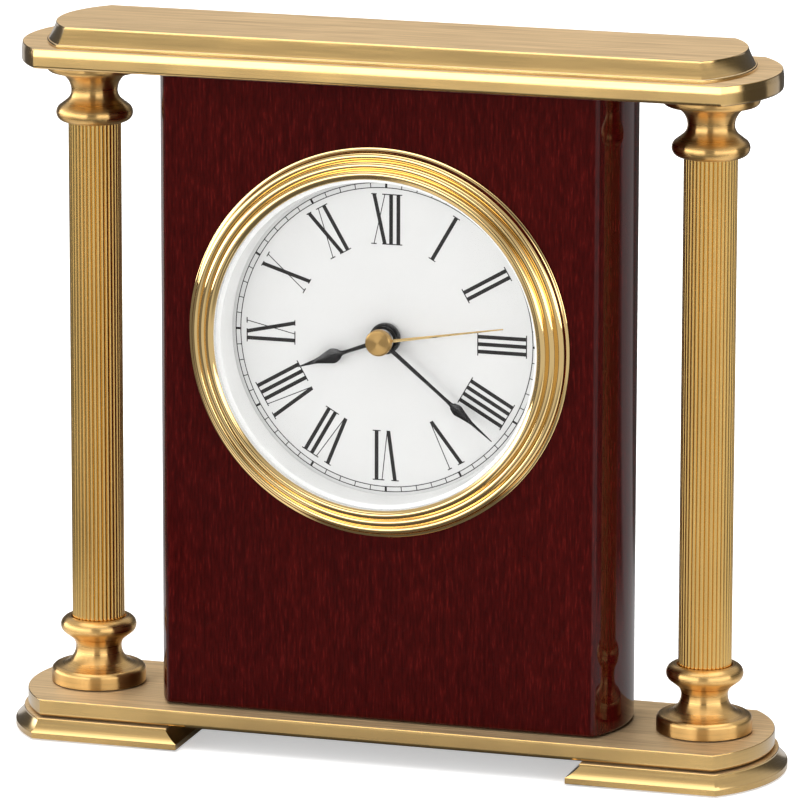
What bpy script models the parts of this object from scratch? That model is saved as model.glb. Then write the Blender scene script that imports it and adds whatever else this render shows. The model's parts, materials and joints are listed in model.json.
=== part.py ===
"""Mantel clock with a lacquered rosewood block between two fluted brass columns.

The round quartz insert pulls out of the block towards the front. Lengths are in
millimetres and are turned into metres by MM. +X is the clock's right as seen from
the front, -Y its front and +Z up; the origin is on the table under its centre.
"""
import math

import bmesh
import bpy

MM = 0.001
GAP = 0.3  # left between pieces that touch

# Heights above the table.
FELT_HEIGHT = 0.7
FOOT_BOTTOM = 0.4
FOOT_TOP = 4.9
BASE_BOTTOM = FOOT_TOP + GAP
BASE_TOP = 9.25
TOP_BOTTOM = 157.45
TOP_TOP = 162.0
CAP_BOTTOM = TOP_TOP + GAP
CAP_TOP = 166.65

# Plans seen from above: half length at the corners, half depth, bow of the ends.
SLAB_PLAN = (80.5, 20.5, 8.4)
FOOT_PLAN = (81.7, 22.8, 10.2)
FOOT_TOP_PLAN = (80.9, 20.9, 8.8)
CAP_PLAN = (75.7, 18.35, 7.1)
CAP_TOP_PLAN = (74.4, 16.2, 6.4)
BLOCK_PLAN = (51.0, 15.4, 4.5)
FOOT_INNER = 46.5  # half the distance between the feet, at the table
FOOT_INNER_TOP = 49.6
BOW_STEPS = 8
SLAB_ROUND = 0.8  # rounded lower edge of the two slabs
BLOCK_ROUND = 1.2
FOOT_LIP = 1.5  # upright lip and top ledge of the coved edges
FOOT_LEDGE = 0.5
CAP_LIP = 0.8
CAP_LEDGE = 0.3
COVE_STEP = 0.15  # small step between a lip and its cove
COVE_STEP_SHARE = 0.12
COVE_ARC = (32, 58)  # degrees of the cove's arc that are used
COVE_STEPS = 2
FELT_INSET = 2.6

# Columns: radius and height, from the flange that rests on the slab.
COLUMN_X = 73.1
TURNED_STEPS = 24
FLANGE_RADIUS = 11.0
FLANGE_HEIGHT = 3.85
FLANGE_ROUND = 0.6
NECK_HEIGHT = 8.3
LOWER_COVE = (9.8, 4.45)  # centre radius, arc radius
UPPER_COVE = (8.2, 2.85)
TORUS_CENTRE = (6.8, 13.4)
TORUS_RADIUS = 2.05
TURNED_HEIGHT = 15.45
SEAT_HEIGHT = 14.3
CAPITAL_TRIM = 0.75  # how much thinner the flange of a capital is
SEAT_RADIUS = 6.4
SEAT_RIM = 7.2
TUBE_RADIUS = 6.1
TUBE_BORE = 5.1
TUBE_STEPS = 36
ROD_RADIUS = 1.5
ROD_HOLE = 1.8

# Fasteners.
NUT_FLATS = 5.5
NUT_HEIGHT = 2.1
NUT_LOW = 1.3  # bottom of the nuts in the feet
NUT_POCKET = 3.6
NUT_POCKET_DEPTH = 2.8
FOOT_SCREW_X = 55.0
BLOCK_SCREW_X = 30.0
CAP_SCREW_X = 58.8
SCREW_DEPTH_IN_BLOCK = 14.0
# Screws: head radius, head height, shank radius.
BLOCK_SCREW = (3.0, 1.6, 1.5)
FOOT_SCREW = (2.8, 1.6, 1.25)
CAP_SCREW = (1.8, 1.2, 1.0)
FOOT_SCREW_LOW = 1.3
SHORT_SCREW_END = 2.5  # reach of a foot or cap screw into the piece it holds
HEAD_SUNK = 0.2  # how far a head lies below the face around its recess
SCREW_STEPS = 16

# Insert: radii, and heights in front of the block's face.
FACE_Y = -BLOCK_PLAN[1]
INSERT_Z = 98.0
BEZEL_STEPS = 48
BEZEL_RADIUS = 45.0
OPENING_RADIUS = 38.2
# Bezel beads from the opening outwards: centre radius, height of the centre, radius, arc in degrees.
BEZEL_BEADS = ((39.7, 3.65, 0.85, (130, 20), 3), (41.55, 2.55, 1.15, (130, 15), 4),
               (44.05, 0.85, 0.95, (125, 0), 3))
BEZEL_INNER_HEIGHT = 3.85
BEZEL_STEP = ((42.8, 1.95), (43.4, 1.8))  # flat between the two outer beads
SLEEVE_FRONT = 1.0
REHAUT_BORE = (37.2, 36.6)  # at its front, at the dial
RUBBER_RING = (-10.0, -2.0)
LENS_RADIUS = 38.4
LENS_BACK = 1.9
LENS_FRONT = 3.4
BLOCK_BORE = 40.2
SLEEVE_RADIUS = 38.9
SLEEVE_BORE = 38.2
SLEEVE_BACK = -23.0
DIAL_RADIUS = 37.9
DIAL_FRONT = -5.8
DIAL_THICKNESS = 0.5

# Movement: depths behind its front face, places of its arbors from the centre.
MOVEMENT_FRONT = DIAL_FRONT - DIAL_THICKNESS - GAP
CASE_HALF_WIDTH = 27.5
CASE_LOW = -27.6
CASE_HIGH = 25.4
CASE_CORNER = 3.0
CASE_WALL = 1.5
CASE_SPLIT = 9.0
CASE_DEPTH = 16.5
BATTERY_RADIUS = 7.0
BATTERY_HALF_LENGTH = 24.2
BATTERY_NUB = 0.9
BATTERY_Z = -19.2
BATTERY_DEPTH = 8.9
BATTERY_NUB_RADIUS = 2.7
CONTACT_THICKNESS = 0.3
CONTACT_HALF = (4.0, 4.5)
BAY_HALF_LENGTH = 26.0
BAY_HALF_HEIGHT = 7.3
BUSH_RADIUS = 2.6
BUSH_BORE = 1.8
BUSH_FRONT = -4.2
NUT_RADIUS = 3.6  # of the round nut that holds the dial
NUT_BORE = 2.75
NUT_FRONT = -4.3
ARBOR_RADIUS = 0.4
PIVOT_HOLE = 0.5
PIVOT_SIDES = 12
POST_RADIUS = 0.6  # the minute wheel turns on a post of the front case
CANNON_PIPE = 1.0
HOUR_PIPE = 1.6
KNOB_ARBOR = 1.4
KNOB_HOLE = 1.7
KNOB_GRIP = (5.3, 0.25, 32)  # radius, depth of its grooves, corners
COIL_AT = (20.0, 0.0)
COIL_DEPTH = 12.6
COIL_ENDS = (-3.3, 17.8)
# Half of the coil's outline: its core's ends, its two cheeks and the winding.
COIL_OUTLINE = ((0.7, -3.3), (0.7, -2.9), (2.3, -2.9), (2.3, -2.1), (1.9, -2.1), (1.9, 16.6), (2.3, 16.6),
                (2.3, 17.4), (0.7, 17.4), (0.7, 17.8))

# Tooth counts. The seconds wheel turns once a minute and the rotor 30 times.
ROTOR_PINION = 8
INTERMEDIATE_WHEEL = 48
INTERMEDIATE_PINION = 8
SECOND_WHEEL = 40
SECOND_PINION = 8
THIRD_WHEEL = 64
THIRD_PINION = 8
CENTRE_WHEEL = 60
CANNON_PINION = 12
MINUTE_WHEEL = 36
MINUTE_PINION = 10
HOUR_WHEEL = 40
KNOB_GEAR = 18
ROTOR_DISTANCE = 7.0
INTERMEDIATE_DISTANCE = 7.2
THIRD_DISTANCE = 9.0
MINUTE_DISTANCE = 8.4
KNOB_DISTANCE = 9.45
PRESSURE_ANGLE = math.radians(20)
WHEEL_ADDENDUM = 0.85  # in modules
PINION_ADDENDUM = 0.9
DEDENDUM = 1.25
TOOTH_SHARE = 0.84  # of half the pitch, the rest is backlash

# Layers behind the movement's front face, as the depths each one lies between.
HOUR_WHEEL_LAYER = (1.95, 2.75)
MINUTE_PINION_LAYER = (1.8, 2.95)
CANNON_PINION_LAYER = (3.3, 4.6)
MINUTE_WHEEL_LAYER = (3.5, 4.3)
KNOB_GEAR_LAYER = (3.4, 4.4)
KNOB_GRIP_LAYER = (17.0, 20.0)
CENTRE_WHEEL_LAYER = (5.1, 5.8)
THIRD_PINION_LAYER = (4.8, 6.1)
TRAIN_PLATE_LAYER = (6.45, 6.95)
SECOND_PINION_LAYER = (7.1, 8.3)
THIRD_WHEEL_LAYER = (7.3, 8.0)
INTERMEDIATE_PINION_LAYER = (8.7, 10.0)
SECOND_WHEEL_LAYER = (9.0, 9.7)
INTERMEDIATE_WHEEL_LAYER = (10.6, 11.3)
ROTOR_PINION_LAYER = (10.4, 11.5)
MAGNET_LAYER = (11.8, 13.4)
STATOR_LAYER = (12.2, 13.0)
BOARD_LAYER = (13.2, 14.0)
ARBOR_START = 0.9  # depths of the pivots in the front case and in the rear cover
ARBOR_END = 15.6

# Hands: angles clockwise from twelve, and heights in front of the block.
HOUR_ANGLE = math.radians(249.5)
MINUTE_ANGLE = math.radians(129.5)
SECOND_ANGLE = math.radians(80.5)
HOUR_HEIGHTS = (-3.5, -3.1)
MINUTE_HEIGHTS = (-2.2, -1.8)
SECOND_HEIGHTS = (-0.9, -0.6)
# Blades: radius of the boss, then half widths at distances from the centre.
HOUR_BLADE = (3.3, ((3.0, 0.55), (9.5, 0.5), (11.1, 1.15), (12.7, 1.65), (14.3, 1.3), (16.5, 0.6),
                    (21.6, 0.12)))
MINUTE_BLADE = (2.7, ((2.5, 0.5), (19.8, 0.45), (21.8, 0.9), (23.4, 1.3), (25.0, 0.9), (27.6, 0.4),
                      (33.9, 0.1)))
SECOND_BLADE = ((-0.4, 2.0), (0.4, 2.0), (0.18, 29.5), (-0.18, 29.5))
HAND_CAP = ((0, 0.9), (2.3, 0.9), (2.8, 0.7), (3.0, 0.3), (3.0, -1.0), (0, -1.0))

FINISHES = {
    "brushed_brass": ((0.76, 0.56, 0.27), 0.34, 1.0),
    "polished_brass": ((0.82, 0.60, 0.28), 0.14, 1.0),
    "turned_brass": ((0.78, 0.50, 0.20), 0.18, 1.0),
    "fluted_brass": ((0.80, 0.58, 0.29), 0.30, 1.0),
    "rosewood": ((0.10, 0.014, 0.010), 0.12, 0.0),
    "felt": ((0.02, 0.02, 0.02), 0.95, 0.0),
    "steel": ((0.62, 0.62, 0.64), 0.30, 1.0),
    "glass": ((0.95, 0.96, 0.96), 0.02, 0.0),
    "white_enamel": ((0.86, 0.86, 0.84), 0.40, 0.0),
    "black_plastic": ((0.025, 0.025, 0.027), 0.45, 0.0),
    "white_plastic": ((0.80, 0.80, 0.78), 0.45, 0.0),
    "black_enamel": ((0.012, 0.012, 0.013), 0.30, 0.0),
    "rubber": ((0.02, 0.02, 0.02), 0.80, 0.0),
    "copper": ((0.72, 0.33, 0.16), 0.30, 1.0),
    "circuit_board": ((0.03, 0.18, 0.08), 0.50, 0.0),
    "battery_sleeve": ((0.10, 0.11, 0.13), 0.30, 0.0),
}


# ---------------------------------------------------------------- scene helpers

def clear_scene():
    for obj in list(bpy.data.objects):
        bpy.data.objects.remove(obj, do_unlink=True)


def new_collection(name):
    collection = bpy.data.collections.new(name)
    bpy.context.scene.collection.children.link(collection)
    return collection


def paint(obj, finish):
    """Give the object its own Principled material."""
    colour, roughness, metallic = FINISHES[finish]
    material = bpy.data.materials.new(f"{obj.name}_{finish}")
    material.use_nodes = True
    shader = material.node_tree.nodes["Principled BSDF"]
    shader.inputs["Base Color"].default_value = (*colour, 1.0)
    shader.inputs["Roughness"].default_value = roughness
    shader.inputs["Metallic"].default_value = metallic
    if finish == "glass":
        shader.inputs["Transmission Weight"].default_value = 1.0
    obj.data.materials.append(material)


def place(obj, finish=None, parent=None, at=(0, 0, 0)):
    """Link a piece, or a cutter where no finish is given, at a place in millimetres."""
    if finish is None:
        CUTTERS.objects.link(obj)
        obj.display_type = "WIRE"
        obj.hide_render = True
    else:
        CLOCK.objects.link(obj)
        paint(obj, finish)
    obj.parent = parent
    obj.location = [value * MM for value in at]
    return obj


def object_from_bmesh(name, shape):
    bmesh.ops.recalc_face_normals(shape, faces=shape.faces)
    mesh = bpy.data.meshes.new(name)
    shape.to_mesh(mesh)
    shape.free()
    return bpy.data.objects.new(name, mesh)


def smooth(obj, angle=35):
    obj.data.shade_smooth()
    obj.data.set_sharp_from_angle(angle=math.radians(angle))


def combine(obj, operation, *others):
    for other in others:
        modifier = obj.modifiers.new(other.name, "BOOLEAN")
        modifier.operation = operation
        modifier.solver = "EXACT"
        modifier.object = other


def bevel(obj, width, segments=2):
    modifier = obj.modifiers.new("rounded_edges", "BEVEL")
    modifier.width = width * MM
    modifier.segments = segments
    modifier.limit_method = "ANGLE"
    modifier.angle_limit = math.radians(30)


# ---------------------------------------------------------------- shape helpers

def arc(centre, radius, start, end, steps):
    """Points on an arc, with its angles in degrees."""
    points = []
    for index in range(steps + 1):
        angle = math.radians(start + (end - start) * index / steps)
        points.append((centre[0] + radius * math.cos(angle), centre[1] + radius * math.sin(angle)))
    return points


def prism(name, outline, low, high):
    """Extrude an outline, listed counter-clockwise, from one height to another."""
    shape = bmesh.new()
    corners = [shape.verts.new((x * MM, y * MM, low * MM)) for x, y in outline]
    face = shape.faces.new(corners)
    raised = bmesh.ops.extrude_face_region(shape, geom=[face])["geom"]
    lift = [item for item in raised if isinstance(item, bmesh.types.BMVert)]
    bmesh.ops.translate(shape, verts=lift, vec=(0, 0, (high - low) * MM))
    return object_from_bmesh(name, shape)


def loft(name, rings):
    """Skin a stack of outlines that have the same number of points: (height, outline)."""
    shape = bmesh.new()
    loops = []
    for height, outline in rings:
        loops.append([shape.verts.new((x * MM, y * MM, height * MM)) for x, y in outline])
    for lower, upper in zip(loops, loops[1:]):
        for index, vertex in enumerate(lower):
            following = (index + 1) % len(lower)
            shape.faces.new((vertex, lower[following], upper[following], upper[index]))
    shape.faces.new(list(reversed(loops[0])))
    shape.faces.new(loops[-1])
    return object_from_bmesh(name, shape)


def cylinder(name, radius, low, high, sides=24, centre=(0, 0)):
    shape = bmesh.new()
    bmesh.ops.create_cone(shape, cap_ends=True, segments=sides, radius1=radius * MM,
                          radius2=radius * MM, depth=(high - low) * MM)
    middle = (centre[0] * MM, centre[1] * MM, (low + high) / 2 * MM)
    bmesh.ops.translate(shape, verts=shape.verts, vec=middle)
    return object_from_bmesh(name, shape)


def box(name, low, high):
    shape = bmesh.new()
    bmesh.ops.create_cube(shape, size=1.0)
    bmesh.ops.scale(shape, verts=shape.verts, vec=[(b - a) * MM for a, b in zip(low, high)])
    bmesh.ops.translate(shape, verts=shape.verts, vec=[(a + b) / 2 * MM for a, b in zip(low, high)])
    return object_from_bmesh(name, shape)


def turned(name, profile, steps=TURNED_STEPS):
    """Revolve (radius, height) points about Z, listed down the outer side first.

    A profile that starts away from the axis is a closed loop, so it makes a bored piece.
    """
    mesh = bpy.data.meshes.new(name)
    edges = [(index, index + 1) for index in range(len(profile) - 1)]
    if profile[0][0] > 0:
        edges.append((len(profile) - 1, 0))
    mesh.from_pydata([(radius * MM, 0, height * MM) for radius, height in profile], edges, [])
    obj = bpy.data.objects.new(name, mesh)
    screw = obj.modifiers.new("revolve", "SCREW")
    screw.steps = steps
    screw.render_steps = steps
    screw.use_merge_vertices = True
    screw.merge_threshold = 0.00001
    screw.use_smooth_shade = True
    return obj


def ring(name, outer, inner, low, high, steps=TURNED_STEPS):
    return turned(name, [(inner, high), (outer, high), (outer, low), (inner, low)], steps)


def rounded_rectangle(left, right, low, high, radius, steps=3):
    corners = ((right - radius, high - radius, 0), (left + radius, high - radius, 90),
               (left + radius, low + radius, 180), (right - radius, low + radius, 270))
    points = []
    for x, y, start in corners:
        points += arc((x, y), radius, start, start + 90, steps)
    return points


# ---------------------------------------------------------------- case

def bow_end(plan, side):
    """The bowed end of a plan on one side, in counter-clockwise order."""
    corner, depth, bow = plan
    radius = (depth ** 2 + bow ** 2) / (2 * bow)
    sweep = math.degrees(math.asin(depth / radius))
    points = arc((corner + bow - radius, 0), radius, -sweep, sweep, BOW_STEPS)
    return [(side * x, side * y) for x, y in points]


def slab_outline(plan):
    return bow_end(plan, 1) + bow_end(plan, -1)


def foot_outline(plan, inner, side):
    """A foot's plan: bowed outside, straight inside."""
    depth = plan[1]
    return bow_end(plan, side) + [(side * inner, side * depth), (side * inner, -side * depth)]


def shrink(plan, amount):
    """The plan drawn in all round by an amount, its ends staying concentric."""
    corner, depth, bow = plan
    radius = (depth ** 2 + bow ** 2) / (2 * bow)
    centre = corner + bow - radius
    new_corner = centre + math.sqrt((radius - amount) ** 2 - (depth - amount) ** 2)
    return new_corner, depth - amount, centre + radius - amount - new_corner


def blend(first, second, share):
    return tuple(a + (b - a) * share for a, b in zip(first, second))


def cove_rings(bottom, top, lip, ledge):
    """Heights, and shares of the way to the upper plan, up a lipped and coved edge."""
    low = bottom + lip
    start, end = (math.radians(angle) for angle in COVE_ARC)
    foot = low + COVE_STEP
    rings = [(bottom, 0.0), (low, 0.0)]
    for index in range(COVE_STEPS + 1):
        turn = start + (end - start) * index / COVE_STEPS
        share = (math.sin(turn) - math.sin(start)) / (math.sin(end) - math.sin(start))
        rise = (math.cos(start) - math.cos(turn)) / (math.cos(start) - math.cos(end))
        rings.append((foot + (top - ledge - foot) * rise, COVE_STEP_SHARE + (1 - COVE_STEP_SHARE) * share))
    rings.append((top, 1.0))
    return rings


def build_slabs():
    rounded = []
    for degrees in (0, 45, 90):
        angle = math.radians(degrees)
        rounded.append((SLAB_ROUND * (1 - math.cos(angle)), SLAB_ROUND * (1 - math.sin(angle))))
    for name, low, high in (("base_plate", BASE_BOTTOM, BASE_TOP), ("top_plate", TOP_BOTTOM, TOP_TOP)):
        rings = [(low + rise, slab_outline(shrink(SLAB_PLAN, inset))) for rise, inset in rounded]
        slab = loft(name, rings + [(high, slab_outline(SLAB_PLAN))])
        place(slab, "brushed_brass")
        cutters = [vertical_hole(f"{name}_rod_hole", ROD_HOLE, low - 1, high + 1, side * COLUMN_X)
                   for side in (-1, 1)]
        cutters += slab_screw_holes(name, low, high)
        combine(slab, "DIFFERENCE", *cutters)


def slab_screw_holes(name, low, high):
    """Clearance holes and head recesses, below on the base and above on the top."""
    cutters = []
    recess = recess_depth(BLOCK_SCREW)
    for side in (-1, 1):
        block_x = side * BLOCK_SCREW_X
        cap_x = side * CAP_SCREW_X
        cutters.append(vertical_hole("block_screw_hole", shank_hole(BLOCK_SCREW), low - 1, high + 1, block_x))
        if name == "base_plate":
            cutters.append(vertical_hole("block_screw_head", head_hole(BLOCK_SCREW), low - 1, low + recess,
                                         block_x))
            cutters.append(vertical_hole("foot_screw_end", shank_hole(FOOT_SCREW), low - 1,
                                         low + SHORT_SCREW_END + GAP, side * FOOT_SCREW_X))
        else:
            cutters.append(vertical_hole("block_screw_head", head_hole(BLOCK_SCREW), high - recess, high + 1,
                                         block_x))
            cutters.append(vertical_hole("cap_screw_hole", shank_hole(CAP_SCREW), low - 1, high + 1, cap_x))
            cutters.append(vertical_hole("cap_screw_head", head_hole(CAP_SCREW), low - 1,
                                         low + recess_depth(CAP_SCREW), cap_x))
    return cutters


def head_hole(size):
    return size[0] + GAP


def shank_hole(size):
    return size[2] + GAP


def recess_depth(size):
    return HEAD_SUNK + size[1] + GAP


def vertical_hole(name, radius, low, high, x, sides=16):
    return place(cylinder(name, radius, low, high, sides), at=(x, 0, 0))


def build_cap():
    rings = [(height, slab_outline(blend(CAP_PLAN, CAP_TOP_PLAN, share)))
             for height, share in cove_rings(CAP_BOTTOM, CAP_TOP, CAP_LIP, CAP_LEDGE)]
    cap = place(loft("top_cap", rings), "brushed_brass")
    for side in (-1, 1):
        pocket = vertical_hole("nut_pocket", NUT_POCKET, CAP_BOTTOM - 1, CAP_BOTTOM + NUT_POCKET_DEPTH,
                               side * COLUMN_X)
        end = vertical_hole("cap_screw_end", shank_hole(CAP_SCREW), CAP_BOTTOM - 1,
                            CAP_BOTTOM + SHORT_SCREW_END + GAP, side * CAP_SCREW_X)
        combine(cap, "DIFFERENCE", pocket, end)


def build_feet():
    for word, side in (("left", -1), ("right", 1)):
        rings = []
        for height, share in cove_rings(FOOT_BOTTOM, FOOT_TOP, FOOT_LIP, FOOT_LEDGE):
            plan = blend(FOOT_PLAN, FOOT_TOP_PLAN, share)
            inner = FOOT_INNER + (FOOT_INNER_TOP - FOOT_INNER) * share
            rings.append((height, foot_outline(plan, inner, side)))
        foot = place(loft(f"foot_{word}", rings), "brushed_brass")
        place(prism(f"felt_{word}", felt_outline(FELT_INSET, side), 0, FELT_HEIGHT), "felt")
        recess = prism("felt_recess", felt_outline(FELT_INSET - GAP, side), -1, FELT_HEIGHT + GAP)
        screw_pocket = FOOT_SCREW_LOW + FOOT_SCREW[1] + GAP
        combine(foot, "DIFFERENCE", place(recess),
                vertical_hole("rod_hole", ROD_HOLE, -1, FOOT_TOP + 1, side * COLUMN_X),
                vertical_hole("rod_pocket", NUT_POCKET, -1, NUT_LOW + NUT_HEIGHT + GAP, side * COLUMN_X),
                vertical_hole("screw_hole", shank_hole(FOOT_SCREW), -1, FOOT_TOP + 1, side * FOOT_SCREW_X),
                vertical_hole("screw_pocket", head_hole(FOOT_SCREW), -1, screw_pocket, side * FOOT_SCREW_X))


def felt_outline(inset, side):
    return foot_outline(shrink(FOOT_PLAN, inset), FOOT_INNER + inset, side)


def build_block():
    low = BASE_TOP + GAP
    high = TOP_BOTTOM - GAP
    block = place(prism("case_block", slab_outline(BLOCK_PLAN), low, high), "rosewood")
    bevel(block, BLOCK_ROUND, 2)
    bore = cylinder("insert_bore", BLOCK_BORE, -25, 25, BEZEL_STEPS)
    bore.rotation_euler = (math.radians(90), 0, 0)
    cutters = [place(bore, at=(0, 0, INSERT_Z))]
    for side in (-1, 1):
        x = side * BLOCK_SCREW_X
        depth = SCREW_DEPTH_IN_BLOCK + GAP
        cutters.append(vertical_hole("lower_pilot", shank_hole(BLOCK_SCREW), low - 1, low + depth, x))
        cutters.append(vertical_hole("upper_pilot", shank_hole(BLOCK_SCREW), high - depth, high + 1, x))
    combine(block, "DIFFERENCE", *cutters)
    smooth(block)


# ---------------------------------------------------------------- columns and fasteners

def column_end_profile(trim=0.0):
    """Flange, cove, torus and tube seat of a turned piece, with its flange trimmed by an amount."""
    seat = [(SEAT_RADIUS, TURNED_HEIGHT), (SEAT_RIM, TURNED_HEIGHT)]
    torus = arc(TORUS_CENTRE, TORUS_RADIUS, 60, -55, 4)
    upper_cove = arc((UPPER_COVE[0], NECK_HEIGHT), UPPER_COVE[1], 125, 180, 2)
    lower_cove = arc((LOWER_COVE[0], NECK_HEIGHT), LOWER_COVE[1], 202, 262, 3)
    rim = arc((FLANGE_RADIUS - FLANGE_ROUND, FLANGE_HEIGHT - FLANGE_ROUND), FLANGE_ROUND, 80, 10, 1)
    bottom = [(FLANGE_RADIUS, 0), (ROD_HOLE, 0)]
    inside = [(ROD_HOLE, SEAT_HEIGHT), (SEAT_RADIUS, SEAT_HEIGHT)]
    outline = seat + torus + upper_cove + lower_cove + rim + bottom + inside
    return [(radius, max(0, height - trim)) for radius, height in outline]


def build_columns():
    low = BASE_TOP + GAP
    high = TOP_BOTTOM - GAP
    for word, side in (("left", -1), ("right", 1)):
        x = side * COLUMN_X
        place(turned(f"pedestal_{word}", column_end_profile()), "turned_brass", at=(x, 0, low))
        capital = turned(f"capital_{word}", column_end_profile(CAPITAL_TRIM))
        place(capital, "turned_brass", at=(x, 0, high))
        capital.rotation_euler = (math.radians(180), 0, 0)
        tube = ring(f"column_tube_{word}", TUBE_RADIUS, TUBE_BORE, low + SEAT_HEIGHT + GAP,
                    high - SEAT_HEIGHT + CAPITAL_TRIM - GAP, TUBE_STEPS)
        place(tube, "fluted_brass", at=(x, 0, 0))
        rod = cylinder(f"tie_rod_{word}", ROD_RADIUS, FELT_HEIGHT + GAP,
                       CAP_BOTTOM + NUT_POCKET_DEPTH - GAP, 16)
        place(rod, "steel", at=(x, 0, 0))
        smooth(rod)
        nut(f"lower_nut_{word}", x, NUT_LOW)
        nut(f"upper_nut_{word}", x, CAP_BOTTOM)


def nut(name, x, bottom):
    hexagon = cylinder(name, NUT_FLATS / math.sqrt(3), bottom, bottom + NUT_HEIGHT, 6)
    place(hexagon, "steel", at=(x, 0, 0))
    combine(hexagon, "DIFFERENCE", vertical_hole(f"{name}_hole", ROD_HOLE, bottom - 1, bottom + 4, x))


def screw(name, x, head, end, size, finish):
    """A pan-head screw from the outside of its head to its end, upwards or downwards."""
    head_radius, head_height, shank_radius = size
    if end > head:
        profile = [(0, end - head), (shank_radius, end - head), (shank_radius, head_height),
                   (head_radius, head_height), (head_radius, 0), (0, 0)]
    else:
        profile = [(0, 0), (head_radius, 0), (head_radius, -head_height),
                   (shank_radius, -head_height), (shank_radius, end - head), (0, end - head)]
    place(turned(name, profile, SCREW_STEPS), finish, at=(x, 0, head))


def build_screws():
    for word, side in (("left", -1), ("right", 1)):
        x = side * BLOCK_SCREW_X
        reach = SCREW_DEPTH_IN_BLOCK + GAP
        screw(f"lower_block_screw_{word}", x, BASE_BOTTOM + HEAD_SUNK, BASE_TOP + reach, BLOCK_SCREW, "steel")
        screw(f"upper_block_screw_{word}", x, TOP_TOP - HEAD_SUNK, TOP_BOTTOM - reach, BLOCK_SCREW, "steel")
        screw(f"foot_screw_{word}", side * FOOT_SCREW_X, FOOT_SCREW_LOW, BASE_BOTTOM + SHORT_SCREW_END,
              FOOT_SCREW, "steel")
        screw(f"cap_screw_{word}", side * CAP_SCREW_X, TOP_BOTTOM + HEAD_SUNK, CAP_BOTTOM + SHORT_SCREW_END,
              CAP_SCREW, "brushed_brass")


# ---------------------------------------------------------------- insert

def bezel_profile():
    """Three beads that step down from the opening, above the sleeve's and lens's seats."""
    inner, middle, outer = (arc(centre, radius, *angles, steps)
                            for *centre, radius, angles, steps in BEZEL_BEADS)
    front = [(OPENING_RADIUS, BEZEL_INNER_HEIGHT)] + inner + middle + list(BEZEL_STEP) + outer
    rim = [(BEZEL_RADIUS, GAP)]
    seat = [(SLEEVE_RADIUS + GAP, GAP), (SLEEVE_RADIUS + GAP, SLEEVE_FRONT + GAP),
            (LENS_RADIUS + GAP, SLEEVE_FRONT + GAP), (LENS_RADIUS + GAP, LENS_FRONT + GAP),
            (OPENING_RADIUS, LENS_FRONT + GAP)]
    return front + rim + seat


def build_insert(insert):
    place(turned("bezel", bezel_profile(), BEZEL_STEPS), "polished_brass", insert)
    lens = [(0, LENS_FRONT), (LENS_RADIUS, LENS_FRONT), (LENS_RADIUS, LENS_BACK), (0, LENS_BACK)]
    place(turned("lens", lens, BEZEL_STEPS), "glass", insert)
    rehaut = [(REHAUT_BORE[0], LENS_BACK - GAP), (DIAL_RADIUS, LENS_BACK - GAP),
              (DIAL_RADIUS, DIAL_FRONT + GAP), (REHAUT_BORE[1], DIAL_FRONT + GAP)]
    place(turned("rehaut_ring", rehaut, BEZEL_STEPS), "white_enamel", insert)
    dial = ring("dial", DIAL_RADIUS, BUSH_RADIUS + GAP, DIAL_FRONT - DIAL_THICKNESS, DIAL_FRONT, BEZEL_STEPS)
    place(dial, "white_enamel", insert)
    place(ring("insert_sleeve", SLEEVE_RADIUS, SLEEVE_BORE, SLEEVE_BACK, SLEEVE_FRONT, BEZEL_STEPS),
          "black_plastic", insert)
    place(ring("rubber_ring", BLOCK_BORE - GAP, SLEEVE_RADIUS + GAP, *RUBBER_RING, BEZEL_STEPS), "rubber",
          insert)
    place(ring("dial_nut", NUT_RADIUS, NUT_BORE, DIAL_FRONT + GAP, NUT_FRONT, 24), "black_enamel", insert)


def behind(depth):
    """Height in the insert's frame of a depth behind the movement's front face."""
    return MOVEMENT_FRONT - depth


def layer(low_depth, high_depth):
    """Low and high heights of what lies between two depths."""
    return behind(high_depth), behind(low_depth)


# ---------------------------------------------------------------- movement

def polar(centre, distance, degrees):
    angle = math.radians(degrees)
    return centre[0] + distance * math.cos(angle), centre[1] + distance * math.sin(angle)


CENTRE = (0.0, 0.0)
THIRD_AT = polar(CENTRE, THIRD_DISTANCE, 120)
INTERMEDIATE_AT = polar(CENTRE, INTERMEDIATE_DISTANCE, 45)
ROTOR_AT = polar(INTERMEDIATE_AT, ROTOR_DISTANCE, 10)
MINUTE_AT = polar(CENTRE, MINUTE_DISTANCE, 200)
KNOB_AT = polar(MINUTE_AT, KNOB_DISTANCE, 150)


def involute(angle):
    return math.tan(angle) - angle


def gear_outline(teeth, module, phase, addendum, flank):
    """Gear outline with a tooth centred on the phase angle; flank lists shares of tooth height."""
    pitch = teeth * module / 2
    base = pitch * math.cos(PRESSURE_ANGLE)
    root = pitch - DEDENDUM * module
    tip = pitch + addendum * module
    half_tooth = math.pi / (2 * teeth) * TOOTH_SHARE
    outline = []
    for index in range(teeth):
        middle = phase + 2 * math.pi * index / teeth
        side = []
        for share in flank:
            radius = root + (tip - root) * share
            slope = math.acos(min(1.0, base / max(radius, base)))
            side.append((radius, half_tooth + involute(PRESSURE_ANGLE) - involute(slope)))
        for radius, half in side:
            outline.append((radius * math.cos(middle - half), radius * math.sin(middle - half)))
        for radius, half in reversed(side):
            outline.append((radius * math.cos(middle + half), radius * math.sin(middle + half)))
    return outline


def wheel_outline(teeth, module, phase):
    return gear_outline(teeth, module, phase, WHEEL_ADDENDUM, (0.0, 1.0))


def pinion_outline(teeth, module, phase):
    return gear_outline(teeth, module, phase, PINION_ADDENDUM, (0.0, 0.55, 1.0))


def meshed_phase(teeth, phase, at, other_teeth, other_at):
    """Phase of a second gear whose gap faces the first gear's tooth."""
    bearing = math.atan2(other_at[1] - at[1], other_at[0] - at[0])
    offset = (bearing - phase) * teeth / (2 * math.pi) % 1
    return bearing + math.pi + (offset + 0.5) * 2 * math.pi / other_teeth


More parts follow.
